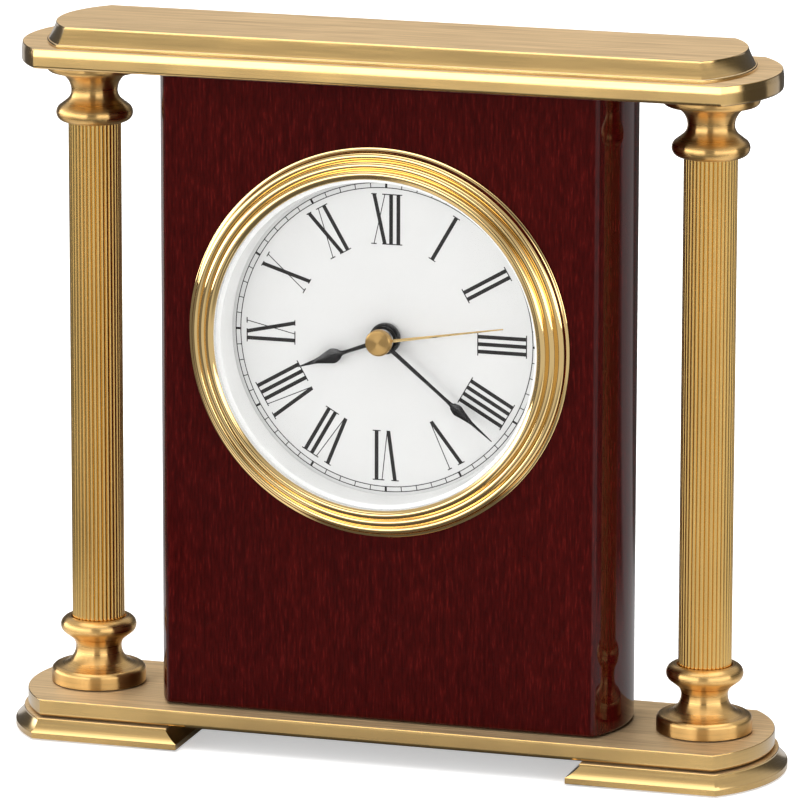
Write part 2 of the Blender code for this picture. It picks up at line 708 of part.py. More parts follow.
def module_of(distance, teeth, other_teeth):
    return 2 * distance / (teeth + other_teeth)


def arbor_piece(name, at, shaft, parts, finish, insert, bore=None):
    """A shaft with wheels and pinions on it: shaft (radius, low, high), parts (outline, low, high)."""
    radius, low, high = shaft
    piece = cylinder(name, radius, low, high, PIVOT_SIDES)
    place(piece, finish, insert, (*at, 0))
    for index, (outline, part_low, part_high) in enumerate(parts):
        gear = place(prism(f"{name}_gear_{index}", outline, part_low, part_high), None, insert, (*at, 0))
        combine(piece, "UNION", gear)
    if bore:
        hole = cylinder(f"{name}_bore", bore, low - 1, high + 1, PIVOT_SIDES)
        combine(piece, "DIFFERENCE", place(hole, None, insert, (*at, 0)))
    return piece


def build_going_train(insert):
    """Rotor to centre wheel: the gears that the stepping motor drives."""
    rotor_module = module_of(ROTOR_DISTANCE, ROTOR_PINION, INTERMEDIATE_WHEEL)
    second_module = module_of(INTERMEDIATE_DISTANCE, INTERMEDIATE_PINION, SECOND_WHEEL)
    third_module = module_of(THIRD_DISTANCE, SECOND_PINION, THIRD_WHEEL)
    centre_module = module_of(THIRD_DISTANCE, THIRD_PINION, CENTRE_WHEEL)

    rotor_phase = meshed_phase(INTERMEDIATE_WHEEL, 0, INTERMEDIATE_AT, ROTOR_PINION, ROTOR_AT)
    intermediate_phase = meshed_phase(SECOND_WHEEL, 0, CENTRE, INTERMEDIATE_PINION, INTERMEDIATE_AT)
    third_phase = meshed_phase(SECOND_PINION, 0, CENTRE, THIRD_WHEEL, THIRD_AT)
    centre_phase = meshed_phase(THIRD_PINION, 0, THIRD_AT, CENTRE_WHEEL, CENTRE)

    magnet = [(1.6 * math.cos(math.pi * k / 10), 1.6 * math.sin(math.pi * k / 10)) for k in range(20)]
    arbor_piece("rotor", ROTOR_AT, (ARBOR_RADIUS, *layer(10.0, ARBOR_END)),
                [(pinion_outline(ROTOR_PINION, rotor_module, rotor_phase), *layer(*ROTOR_PINION_LAYER)),
                 (magnet, *layer(*MAGNET_LAYER))], "black_plastic", insert)
    arbor_piece("intermediate_wheel", INTERMEDIATE_AT, (ARBOR_RADIUS, *layer(TRAIN_PLATE_LAYER[0], ARBOR_END)),
                [(pinion_outline(INTERMEDIATE_PINION, second_module, intermediate_phase),
                  *layer(*INTERMEDIATE_PINION_LAYER)),
                 (wheel_outline(INTERMEDIATE_WHEEL, rotor_module, 0), *layer(*INTERMEDIATE_WHEEL_LAYER))],
                "white_plastic", insert)
    arbor_piece("second_wheel", CENTRE, (ARBOR_RADIUS, behind(ARBOR_END), SECOND_HEIGHTS[1]),
                [(pinion_outline(SECOND_PINION, third_module, 0), *layer(*SECOND_PINION_LAYER)),
                 (wheel_outline(SECOND_WHEEL, second_module, 0), *layer(*SECOND_WHEEL_LAYER))],
                "white_plastic", insert)
    arbor_piece("third_wheel", THIRD_AT, (ARBOR_RADIUS, *layer(ARBOR_START, ARBOR_END)),
                [(pinion_outline(THIRD_PINION, centre_module, 0), *layer(*THIRD_PINION_LAYER)),
                 (wheel_outline(THIRD_WHEEL, third_module, third_phase), *layer(*THIRD_WHEEL_LAYER))],
                "white_plastic", insert)
    arbor_piece("centre_wheel", CENTRE, (1.7, *layer(4.9, 6.1)),
                [(wheel_outline(CENTRE_WHEEL, centre_module, centre_phase), *layer(*CENTRE_WHEEL_LAYER))],
                "white_plastic", insert, bore=CANNON_PIPE + 0.1)


def build_motion_work(insert):
    """Cannon pinion to hour wheel, with the setting knob: the gears behind the hands."""
    cannon_module = module_of(MINUTE_DISTANCE, CANNON_PINION, MINUTE_WHEEL)
    hour_module = module_of(MINUTE_DISTANCE, MINUTE_PINION, HOUR_WHEEL)
    knob_module = module_of(KNOB_DISTANCE, KNOB_GEAR, MINUTE_WHEEL)

    minute_phase = meshed_phase(CANNON_PINION, 0, CENTRE, MINUTE_WHEEL, MINUTE_AT)
    hour_phase = meshed_phase(MINUTE_PINION, 0, MINUTE_AT, HOUR_WHEEL, CENTRE)
    knob_phase = meshed_phase(MINUTE_WHEEL, minute_phase, MINUTE_AT, KNOB_GEAR, KNOB_AT)

    arbor_piece("cannon_pinion", CENTRE, (CANNON_PIPE, behind(6.2), -1.6),
                [(pinion_outline(CANNON_PINION, cannon_module, 0), *layer(*CANNON_PINION_LAYER))],
                "brushed_brass", insert, bore=0.55)
    arbor_piece("minute_wheel", MINUTE_AT, (1.1, *layer(1.8, 4.6)),
                [(pinion_outline(MINUTE_PINION, hour_module, 0), *layer(*MINUTE_PINION_LAYER)),
                 (wheel_outline(MINUTE_WHEEL, cannon_module, minute_phase), *layer(*MINUTE_WHEEL_LAYER))],
                "white_plastic", insert, bore=POST_RADIUS + 0.1)
    arbor_piece("hour_wheel", CENTRE, (HOUR_PIPE, behind(2.9), -2.9),
                [(wheel_outline(HOUR_WHEEL, hour_module, hour_phase), *layer(*HOUR_WHEEL_LAYER))],
                "white_plastic", insert, bore=CANNON_PIPE + 0.15)
    middle, groove, corners = KNOB_GRIP
    grip = []
    for index in range(corners):
        angle = 2 * math.pi * index / corners
        radius = middle + groove * (-1) ** index
        grip.append((radius * math.cos(angle), radius * math.sin(angle)))
    arbor_piece("setting_knob", KNOB_AT, (KNOB_ARBOR, *layer(ARBOR_START, 18.0)),
                [(pinion_outline(KNOB_GEAR, knob_module, knob_phase), *layer(*KNOB_GEAR_LAYER)),
                 (grip, *layer(*KNOB_GRIP_LAYER))], "black_plastic", insert)


def pivot_holes(name, insert, places, low_depth, high_depth):
    """Cutters for bearing holes: (place, radius)."""
    low, high = layer(low_depth, high_depth)
    return [place(cylinder(f"{name}_pivot", radius, low, high, PIVOT_SIDES), None, insert, (*at, 0))
            for at, radius in places]


def build_movement_case(insert):
    outside = rounded_rectangle(-CASE_HALF_WIDTH, CASE_HALF_WIDTH, CASE_LOW, CASE_HIGH, CASE_CORNER)
    inside = rounded_rectangle(-CASE_HALF_WIDTH + CASE_WALL, CASE_HALF_WIDTH - CASE_WALL,
                               CASE_LOW + 1.1, CASE_HIGH - CASE_WALL, 1.5)
    front = place(prism("movement_case", outside, *layer(0, CASE_SPLIT)), "black_plastic", insert)
    hollow = place(prism("case_hollow", inside, *layer(CASE_WALL, CASE_SPLIT + 1)), None, insert)
    bush = place(cylinder("hand_bush", BUSH_RADIUS, behind(0.75), BUSH_FRONT), None, insert)
    bush_bore = place(cylinder("hand_bush_bore", BUSH_BORE, behind(3), BUSH_FRONT + 1), None, insert)
    combine(front, "DIFFERENCE", hollow)
    post = place(cylinder("minute_post", POST_RADIUS, *layer(1.0, 4.4), PIVOT_SIDES), None, insert,
                 (*MINUTE_AT, 0))
    combine(front, "UNION", bush, post)
    combine(front, "DIFFERENCE", bush_bore,
            *pivot_holes("front", insert, ((THIRD_AT, PIVOT_HOLE), (KNOB_AT, KNOB_HOLE)), 0.7, 2))

    cover = place(prism("movement_cover", outside, *layer(CASE_SPLIT + GAP, CASE_DEPTH)), "black_plastic",
                  insert)
    cover_hollow = place(prism("cover_hollow", inside, *layer(CASE_SPLIT, CASE_DEPTH - CASE_WALL)), None,
                         insert)
    bay_low = BATTERY_Z - BAY_HALF_HEIGHT
    bay_high = BATTERY_Z + BAY_HALF_HEIGHT
    partition = place(box("bay_partition", (-BAY_HALF_LENGTH - 0.5, bay_high - 1.2, behind(CASE_DEPTH - 0.5)),
                          (BAY_HALF_LENGTH + 0.5, bay_high + 1.2, behind(CASE_SPLIT + 1))), None, insert)
    bay = place(box("battery_bay", (-BAY_HALF_LENGTH, bay_low, behind(CASE_DEPTH + 1)),
                    (BAY_HALF_LENGTH, bay_high, behind(CASE_SPLIT - 1))), None, insert)
    combine(cover, "DIFFERENCE", cover_hollow)
    combine(cover, "UNION", partition)
    bearings = ((CENTRE, PIVOT_HOLE), (THIRD_AT, PIVOT_HOLE), (INTERMEDIATE_AT, PIVOT_HOLE),
                (ROTOR_AT, PIVOT_HOLE))
    combine(cover, "DIFFERENCE", bay, *pivot_holes("cover", insert, bearings, 14, 15.9),
            *pivot_holes("knob", insert, ((KNOB_AT, KNOB_HOLE),), 14, 17))


def build_train_plate(insert):
    plate = prism("train_plate", rounded_rectangle(-25.7, 25.7, -9.8, 23.6, 1.5), *layer(*TRAIN_PLATE_LAYER))
    place(plate, "brushed_brass", insert)
    bearings = ((CENTRE, PIVOT_HOLE), (THIRD_AT, PIVOT_HOLE), (INTERMEDIATE_AT, PIVOT_HOLE),
                (KNOB_AT, KNOB_HOLE))
    combine(plate, "DIFFERENCE", *pivot_holes("plate", insert, bearings, 6, 7.5))


def build_motor(insert):
    """Stator, coil and circuit board of the stepping motor."""
    stator = prism("stator", rounded_rectangle(8.8, 24.0, -6.5, 21.0, 1), *layer(*STATOR_LAYER))
    place(stator, "steel", insert)
    window = place(box("coil_window", (15.8, -3.6, behind(14)), (26.0, 18.1, behind(11))), None, insert)
    rotor_hole = place(cylinder("rotor_hole", 2.0, *layer(11, 14), 24), None, insert, (*ROTOR_AT, 0))
    combine(stator, "DIFFERENCE", window, rotor_hole)

    profile = [(0, COIL_ENDS[1])] + list(reversed(COIL_OUTLINE)) + [(0, COIL_ENDS[0])]
    coil = place(turned("coil", profile, 20), "copper", insert, (*COIL_AT, behind(COIL_DEPTH)))
    coil.rotation_euler = (math.radians(-90), 0, 0)

    board = prism("circuit_board", rounded_rectangle(-24.5, 6.5, 13.0, 23.0, 0.8), *layer(*BOARD_LAYER))
    place(board, "circuit_board", insert)


def build_battery(insert):
    axis_depth = behind(BATTERY_DEPTH)
    length = BATTERY_HALF_LENGTH
    profile = [(0, length + BATTERY_NUB), (BATTERY_NUB_RADIUS, length + BATTERY_NUB),
               (BATTERY_NUB_RADIUS, length), (BATTERY_RADIUS, length), (BATTERY_RADIUS, -length),
               (0, -length)]
    battery = place(turned("battery", profile, 24), "battery_sleeve", insert, (0, BATTERY_Z, axis_depth))
    battery.rotation_euler = (0, math.radians(90), 0)
    contact_x = length + BATTERY_NUB + GAP
    for word, side in (("positive", 1), ("negative", -1)):
        low, high = sorted((side * contact_x, side * (contact_x + CONTACT_THICKNESS)))
        tall, deep = CONTACT_HALF
        contact = box(f"battery_contact_{word}", (low, BATTERY_Z - tall, axis_depth - deep),
                      (high, BATTERY_Z + tall, axis_depth + deep))
        place(contact, "steel", insert)


# ---------------------------------------------------------------- hands

def hand_outline(boss, stations):
    """A hand pointing along +Y: a round boss, then half widths at distances from the centre."""
    first = stations[0][1]
    start = math.degrees(math.acos(first / boss))
    round_part = arc((0, 0), boss, 180 - start, 360 + start, 20)
    right = [(half, distance) for distance, half in stations[1:]]
    left = [(-half, distance) for distance, half in reversed(stations[1:])]
    return round_part + right + left


def hand(name, blade, heights, hole, angle, insert):
    boss, stations = blade
    low, high = heights
    piece = place(prism(name, hand_outline(boss, stations), low, high), "black_enamel", insert)
    piece.rotation_euler = (0, 0, -angle)
    bore = place(cylinder(f"{name}_hole", hole, low - 1, high + 1, PIVOT_SIDES), None, insert)
    combine(piece, "DIFFERENCE", bore)


def build_hands(insert):
    hand("hour_hand", HOUR_BLADE, HOUR_HEIGHTS, HOUR_PIPE + 0.1, HOUR_ANGLE, insert)
    hand("minute_hand", MINUTE_BLADE, MINUTE_HEIGHTS, CANNON_PIPE + 0.1, MINUTE_ANGLE, insert)

    second = place(turned("second_hand", HAND_CAP, 32), "polished_brass", insert)
    second.rotation_euler = (0, 0, -SECOND_ANGLE)
    blade = place(prism("second_blade", SECOND_BLADE, *SECOND_HEIGHTS), None, insert)
    blade.rotation_euler = (0, 0, -SECOND_ANGLE)
    socket = place(cylinder("second_socket", 0.6, -2.0, -0.3, 20), None, insert)
    combine(second, "UNION", blade)
    combine(second, "DIFFERENCE", socket)


def build_clock():
    build_feet()
    build_slabs()
    build_cap()
    build_block()
    build_columns()
    build_screws()

    insert = bpy.data.objects.new("insert_axis", None)
    CLOCK.objects.link(insert)
    insert.location = (0, FACE_Y * MM, INSERT_Z * MM)
    insert.rotation_euler = (math.radians(90), 0, 0)
    build_insert(insert)
    build_movement_case(insert)
    build_train_plate(insert)
    build_going_train(insert)
    build_motion_work(insert)
    build_motor(insert)
    build_battery(insert)
    build_hands(insert)


clear_scene()
CLOCK = new_collection("mantel_clock")
CUTTERS = new_collection("cutters")
build_clock()
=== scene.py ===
import json
import math

import bmesh
import bpy
from mathutils import Matrix, Vector


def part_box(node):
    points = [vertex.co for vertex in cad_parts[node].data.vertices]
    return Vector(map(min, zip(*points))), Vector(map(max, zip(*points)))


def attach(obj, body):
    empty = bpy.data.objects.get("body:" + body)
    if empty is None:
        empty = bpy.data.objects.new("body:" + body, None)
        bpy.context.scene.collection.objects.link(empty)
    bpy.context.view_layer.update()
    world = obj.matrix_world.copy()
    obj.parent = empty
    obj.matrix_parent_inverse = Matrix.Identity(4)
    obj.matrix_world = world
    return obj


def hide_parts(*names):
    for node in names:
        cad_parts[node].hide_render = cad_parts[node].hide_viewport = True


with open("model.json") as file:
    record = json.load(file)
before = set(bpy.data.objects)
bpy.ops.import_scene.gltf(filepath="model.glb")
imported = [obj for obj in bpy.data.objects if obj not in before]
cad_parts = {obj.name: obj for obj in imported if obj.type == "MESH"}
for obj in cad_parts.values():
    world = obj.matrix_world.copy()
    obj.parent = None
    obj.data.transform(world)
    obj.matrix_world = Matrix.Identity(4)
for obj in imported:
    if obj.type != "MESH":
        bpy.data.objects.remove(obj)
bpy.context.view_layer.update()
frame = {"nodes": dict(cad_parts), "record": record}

# Looks of a mantel clock: a rosewood block between two fluted brass columns. Lengths are in
# millimetres, in the frame's axes: +X right, -Y front, +Z up. MM turns them into metres.
MM = 0.001
SIDES = ("left", "right")


def span(node):
    """Lowest and highest corner of a CAD node, in millimetres."""
    low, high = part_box(node)
    return Vector(low) / MM, Vector(high) / MM


# ---- sizes from the frame

BASE_LOW, BASE_HIGH = span("base_plate")
TOP_LOW, TOP_HIGH = span("top_plate")
CAP_HIGH = span("top_cap")[1]
FOOT_LOW, FOOT_HIGH = span("foot_right")
BLOCK_LOW, BLOCK_HIGH = span("case_block")
BEZEL_LOW, BEZEL_HIGH = span("bezel")
DIAL_LOW, DIAL_HIGH = span("dial")
LENS_LOW, LENS_HIGH = span("lens")

FACE_Y = BLOCK_LOW.y
INSERT_Z = (DIAL_LOW.z + DIAL_HIGH.z) / 2
DIAL_RADIUS = (DIAL_HIGH.x - DIAL_LOW.x) / 2
BEZEL_RADIUS = (BEZEL_HIGH.x - BEZEL_LOW.x) / 2
DIAL_FRONT = FACE_Y - DIAL_LOW.y  # heights in the insert's frame count forward from the block's face
LENS_FRONT = FACE_Y - LENS_LOW.y
LENS_BACK = FACE_Y - LENS_HIGH.y
LENS_RADIUS = (LENS_HIGH.x - LENS_LOW.x) / 2
SLEEVE_FRONT = FACE_Y - span("insert_sleeve")[0].y
INSERT = Matrix.Translation((0, FACE_Y * MM, INSERT_Z * MM)) @ Matrix.Rotation(math.radians(90), 4, "X")

# Corners of the plans: half length there and half depth. The bow of the ends comes from the box.
SLAB_CORNER = (80.5, 20.5)
FOOT_CORNER = (81.7, 22.8)
FOOT_TOP_PLAN = (80.9, 20.9, 8.8)
CAP_CORNER = (75.7, 18.35)
CAP_TOP_PLAN = (74.4, 16.2, 6.4)
BLOCK_CORNER = (51.0, 15.4)
BOW_STEPS = 40
# Edges of the plates: lower round, share of the height where the crown starts, its tilt in degrees.
BASE_EDGE = (1.0, 0.80, 3)
TOP_EDGE = (0.75, 0.56, 8.5)
UPPER_ROUND = 0.2
CROWN_STEPS = 10
CROWN_RUSH = 2.5  # the crown has its full tilt after one part in this many
ROUND_TURNS = range(0, 91, 15)  # degrees at which a small round is drawn
# Coves of the cap and the feet: start and end of the arc in degrees, steps, share of the way in below it.
CAP_COVE = (38, 57, 10, 0.2)
CAP_LIP = 0.87
CAP_LIP_ROUND = 0.3
CAP_LEDGE = 0.22
CAP_EASE = 0.08  # tiny bevel of the upper edge
FOOT_COVE = (36, 56, 12, 0.12)
FOOT_LIP = 1.5
FOOT_LEDGE = 0.45
FOOT_EASE = 0.12
FOOT_TOP_SHARE = 0.93  # of the way in, where the top of a foot stands
FOOT_INNER_RISE = 3.1  # how far the inner end of a foot leans in
PAD_INSET = 2.6
PAD_RECESS = 2.3
FELT_ROUND = 0.18
HEAD_RECESS = (3.3, 2.1)  # radius and depth of the recess round a screw's head
BLOCK_ROUND = 1.3  # of the block's upright edges, and of its edges above and below
BLOCK_END_ROUND = 0.7
BLOCK_ROUND_STEPS = 4
BORE_RADIUS = 40.2
BORE_REACH = 20  # how far the cut goes to the front and back, past both faces of the block

# Hands, as angles clockwise from twelve.
HOUR_ANGLE = math.radians(249.5)
MINUTE_ANGLE = math.radians(129.5)
SECOND_ANGLE = math.radians(80.5)


# ---- material nodes

class Nodes:
    """A node tree, with short ways to add nodes to it."""

    def __init__(self, tree):
        self.tree = tree

    def add(self, kind, inputs=(), **settings):
        """A node with its settings, and its inputs as (name or index, value or output)."""
        node = self.tree.nodes.new(kind)
        for name, value in settings.items():
            setattr(node, name, value)
        for key, value in inputs:
            if isinstance(value, bpy.types.NodeSocket):
                self.tree.links.new(value, node.inputs[key])
            else:
                node.inputs[key].default_value = value
        return node

    def math(self, operation, *values):
        return self.add("ShaderNodeMath", enumerate(values), operation=operation).outputs[0]

    def rise(self, value, start, end, low=0.0, high=1.0):
        """Low up to the start and high from the end, with a smooth rise between."""
        return self.between(value, low, high, start, end, "SMOOTHSTEP")

    def between(self, value, low, high, start=0.3, end=0.7, interpolation="LINEAR"):
        """Low up to the start and high from the end, with a straight rise between."""
        inputs = zip(("Value", "From Min", "From Max", "To Min", "To Max"), (value, start, end, low, high))
        return self.add("ShaderNodeMapRange", inputs, interpolation_type=interpolation).outputs["Result"]


class Look(Nodes):
    """A Principled material whose colour, roughness and bump come from nodes."""

    def __init__(self, name, roughness, metallic=0.0, **sockets):
        self.material = bpy.data.materials.new(f"{name}_look")
        self.material.use_nodes = True
        super().__init__(self.material.node_tree)
        self.shader = self.tree.nodes["Principled BSDF"]
        self.set("Roughness", roughness)
        self.set("Metallic", metallic)
        for socket, value in sockets.items():
            self.set(socket.replace("_", " "), value)

    def set(self, socket, value):
        self.shader.inputs[socket].default_value = value

    def link(self, output, socket):
        self.tree.links.new(output, self.shader.inputs[socket])

    def place(self, scale, offset=(0, 0, 0)):
        """The piece's own coordinates in metres, stretched."""
        coordinates = self.add("ShaderNodeTexCoord").outputs["Object"]
        return self.add("ShaderNodeMapping", [("Vector", coordinates), ("Scale", scale),
                                              ("Location", offset)]).outputs["Vector"]

    def rings(self, scale, offset=(0, 0, 0)):
        """Coordinates that are the same all round the piece's Z axis: (radius, 0, height)."""
        spot = self.place((1, 1, 1), offset)
        flat = self.add("ShaderNodeVectorMath", [(0, spot), (1, (1, 1, 0))], operation="MULTIPLY")
        radius = self.add("ShaderNodeVectorMath", [(0, flat.outputs[0])], operation="LENGTH")
        height = self.add("ShaderNodeSeparateXYZ", [(0, spot)]).outputs["Z"]
        both = self.add("ShaderNodeCombineXYZ", [("X", radius.outputs["Value"]), ("Z", height)]).outputs[0]
        return self.add("ShaderNodeMapping", [("Vector", both), ("Scale", (scale,) * 3)]).outputs[0]

    def noise(self, spot, scale=1.0, detail=3.0, distortion=0.0):
        return self.add("ShaderNodeTexNoise", [("Vector", spot), ("Scale", scale), ("Detail", detail),
                                               ("Distortion", distortion)]).outputs["Fac"]

    def ramp(self, factor, *stops):
        """A colour ramp: (position, colour)."""
        node = self.add("ShaderNodeValToRGB", [("Fac", factor)])
        band = node.color_ramp
        while len(band.elements) < len(stops):
            band.elements.new(0.5)
        for element, (position, colour) in zip(band.elements, stops):
            element.position = position
            element.color = (*colour, 1.0)
        return node.outputs["Color"]

    def mix(self, factor, first, second, blend="MIX"):
        """Two colours, each an output or three numbers, mixed by a factor."""
        first, second = (colour if isinstance(colour, bpy.types.NodeSocket) else (*colour, 1.0)
                         for colour in (first, second))
        return self.add("ShaderNodeMix", ((0, factor), (6, first), (7, second)), data_type="RGBA",
                        blend_type=blend).outputs[2]

    def bump(self, height, distance, strength):
        inputs = [("Height", height), ("Distance", distance * MM), ("Strength", strength)]
        return self.add("ShaderNodeBump", inputs).outputs["Normal"]

    def turn_gloss(self):
        """Let the gloss run round the piece's Z axis."""
        self.link(self.add("ShaderNodeTangent", direction_type="RADIAL", axis="Z").outputs[0], "Tangent")

    def facing(self):
        """How far the piece's own normal points along X, Y and Z, whichever way round."""
        normal = self.add("ShaderNodeTexCoord").outputs["Normal"]
        return self.add("ShaderNodeVectorMath", [(0, normal)], operation="ABSOLUTE").outputs[0]

    def along(self, vector, axis):
        """One axis of a vector output."""
        return self.add("ShaderNodeSeparateXYZ", [(0, vector)]).outputs[axis]


def shade(colour, factor):
    return tuple(channel * factor for channel in colour)


def brushed_brass(name, flat_colour_with_shade, edge_colour):
    """Brass whose level faces are brushed along X and whose edges are drawn smooth along their length; the
    level faces also get a darker colour than the edges, partly the paler tone of brushing and partly
    painted shade.
    """
    look = Look(name, 0.3, 1.0, Anisotropic=0.85, Coat_IOR=1.6, Coat_Roughness=0.12)
    level = look.rise(look.along(look.facing(), "Z"), 0.90, 0.98)
    strokes = look.noise(look.place((70, 2800, 70)), detail=4)
    bands = look.noise(look.place((40, 1500, 40), (3, 7, 1)))
    drawn = look.noise(look.place((22, 22, 2600)))
    brushed = look.mix(0.5, strokes, bands)
    # Painted shade: the level faces take a darker brass colour than the edges, besides the paler tone of
    # their brushing.
    flat_tone_with_shade = look.ramp(brushed, (0.38, shade(flat_colour_with_shade, 0.80)), (0.50, flat_colour_with_shade),
                          (0.60, shade(flat_colour_with_shade, 1.20)))
    edge_tone = look.ramp(drawn, (0.30, shade(edge_colour, 0.93)), (0.70, shade(edge_colour, 1.05)))
    look.link(look.mix(level, edge_tone, flat_tone_with_shade), "Base Color")
    rough = look.math("ADD", look.between(level, 0.16, 0.48, 0.0, 1.0), look.between(strokes, -0.03, 0.05))
    look.link(rough, "Roughness")
    look.link(look.between(level, 0.8, 0.0, 0.0, 1.0), "Coat Weight")
    look.link(look.bump(look.mix(level, drawn, strokes), 0.006, 0.45), "Normal")
    drawn_along = look.add("ShaderNodeCombineXYZ", [("Y", level), ("Z", look.math("SUBTRACT", 1.0, level))])
    look.link(drawn_along.outputs[0], "Tangent")
    return look.material


def turned_brass(name, colour, roughness, lines, anisotropy, contrast=0.16):
    """Brass with the fine lines that a lathe leaves round the piece."""
    look = Look(name, roughness, 1.0, Anisotropic=anisotropy, Anisotropic_Rotation=0.25)
    ring = look.noise(look.rings(3800))
    band = look.noise(look.rings(900))
    cloud = look.noise(look.place((160, 160, 160)))
    tone = look.ramp(look.mix(0.35, look.mix(0.5, ring, band), cloud), (0.34, shade(colour, 1 - contrast)),
                     (0.5, colour), (0.7, shade(colour, 1 + contrast / 2)))
    look.link(tone, "Base Color")
    look.link(look.between(band, roughness * 0.8, roughness * 1.25), "Roughness")
    look.link(look.bump(ring, lines, 0.6), "Normal")
    look.turn_gloss()
    return look.material


def fluted_brass(name, colour, roughness):
    look = Look(name, roughness, 1.0)
    streak = look.noise(look.place((1500, 1500, 14)))
    cloud = look.noise(look.place((120, 120, 30)))
    tone = look.ramp(look.mix(0.5, streak, cloud), (0.32, shade(colour, 0.88)), (0.52, colour),
                     (0.70, shade(colour, 1.06)))
    look.link(tone, "Base Color")
    look.link(look.between(cloud, roughness - 0.03, roughness + 0.05), "Roughness")
    look.link(look.bump(streak, 0.003, 0.4), "Normal")
    return look.material


def rosewood(name):
    """Dark red veneer with short upright flecks, under a clear gloss lacquer whose strength is painted by
    facing: weak on the front, strong on the sides, top, bottom and rounded edges.
    """
    look = Look(name, 0.5, Specular_IOR_Level=0.0, Coat_Roughness=0.03, Coat_IOR=1.4)
    facing = look.facing()
    # Painted reflection: the lacquer is made weak on the front face and strong where the surface turns to
    # the sides, top and bottom, so the rounded edges carry bright lines.
    painted_sheen_facing = look.math("MAXIMUM", look.along(facing, "X"), look.along(facing, "Z"))
    look.link(look.rise(painted_sheen_facing, 0.04, 0.3, 0.13, 0.85), "Coat Weight")
    cloud = look.noise(look.place((22, 22, 9)), detail=4, distortion=0.5)
    grain = look.noise(look.place((1300, 1300, 16)), detail=4)
    flecks = look.noise(look.place((2500, 2500, 330), (2, 5, 9)))
    base = look.ramp(cloud, (0.30, (0.034, 0.0018, 0.0016)), (0.55, (0.038, 0.0021, 0.0017)),
                     (0.78, (0.044, 0.0024, 0.0020)))
    streaks = look.ramp(grain, (0.34, (0.88,) * 3), (0.5, (1.0,) * 3), (0.70, (1.14, 1.12, 1.12)))
    pores = look.ramp(flecks, (0.36, (0.70,) * 3), (0.50, (0.95,) * 3), (0.60, (1.12, 1.15, 1.15)),
                      (0.70, (1.8, 2.1, 2.1)))
    look.link(look.mix(1.0, look.mix(1.0, base, streaks, "MULTIPLY"), pores, "MULTIPLY"), "Base Color")
    look.link(look.between(grain, 0.42, 0.58), "Roughness")
    look.link(look.bump(flecks, 0.01, 0.3), "Normal")
    ripple = look.noise(look.place((45, 45, 14)), detail=2)
    look.link(look.bump(ripple, 0.006, 0.2), "Coat Normal")
    return look.material


def satin(name, colour, roughness, grain=900, depth=0.004, variation=0.06, metallic=0.0, **sockets):
    """An even finish with slight mottling: enamel, moulded plastic, rubber or plated steel."""
    look = Look(name, roughness, metallic, **sockets)
    fine = look.noise(look.place((grain,) * 3))
    cloud = look.noise(look.place((grain / 14,) * 3, (5, 3, 8)))
    look.link(look.ramp(look.mix(0.4, cloud, fine), (0.3, shade(colour, 1 - variation)),
                        (0.7, shade(colour, 1 + variation))), "Base Color")
    look.link(look.between(cloud, roughness * 0.88, roughness * 1.12), "Roughness")
    look.link(look.bump(fine, depth, 0.5), "Normal")
    return look.material


def felt_look(name):
    look = Look(name, 0.95, Sheen_Weight=0.4, Sheen_Roughness=0.5)
    fuzz = look.noise(look.place((2600, 2600, 2600)), detail=4, distortion=0.6)
    look.link(look.ramp(fuzz, (0.3, (0.006, 0.006, 0.007)), (0.75, (0.035, 0.035, 0.038))), "Base Color")
    look.link(look.bump(fuzz, 0.12, 0.9), "Normal")
    return look.material


def glass_look(name):
    """Thin clear glass: light passes straight through, and its faces reflect more at a slant."""
    look = Look(name, 0.02)
    smear = look.noise(look.place((60, 60, 60)))
    look.link(look.between(smear, 0.01, 0.035), "Roughness")
    look.set("Base Color", (0.02, 0.02, 0.02, 1.0))
    look.set("IOR", 1.45)
    slant = look.add("ShaderNodeLayerWeight", [("Blend", 0.5)]).outputs["Facing"]
    look.link(look.between(look.math("POWER", slant, 4.0), 0.035, 0.9, 0.0, 1.0), "Alpha")
    return look.material


def cap_brass(name, colour):
    """A small turned face whose highlight fans out from its middle."""
    look = Look(name, 0.30, 1.0, Anisotropic=0.92, Anisotropic_Rotation=0.25)
    ring = look.noise(look.rings(2600))
    look.link(look.ramp(ring, (0.35, shade(colour, 0.93)), (0.65, shade(colour, 1.04))), "Base Color")
    look.link(look.between(ring, 0.27, 0.33), "Roughness")
    look.link(look.bump(ring, 0.0006, 0.4), "Normal")
    look.turn_gloss()
    return look.material


# The level faces' brass is darker than the edges' brass: partly the paler brushed tone, partly painted
# shade on the tops.
FLAT_BRASS_WITH_SHADE = (0.50, 0.36, 0.205)
EDGE_BRASS = (0.66, 0.43, 0.15)
WARM_BRASS = (0.74, 0.46, 0.17)
TUBE_BRASS = (0.86, 0.56, 0.19)
BEZEL_BRASS = (0.84, 0.60, 0.27)

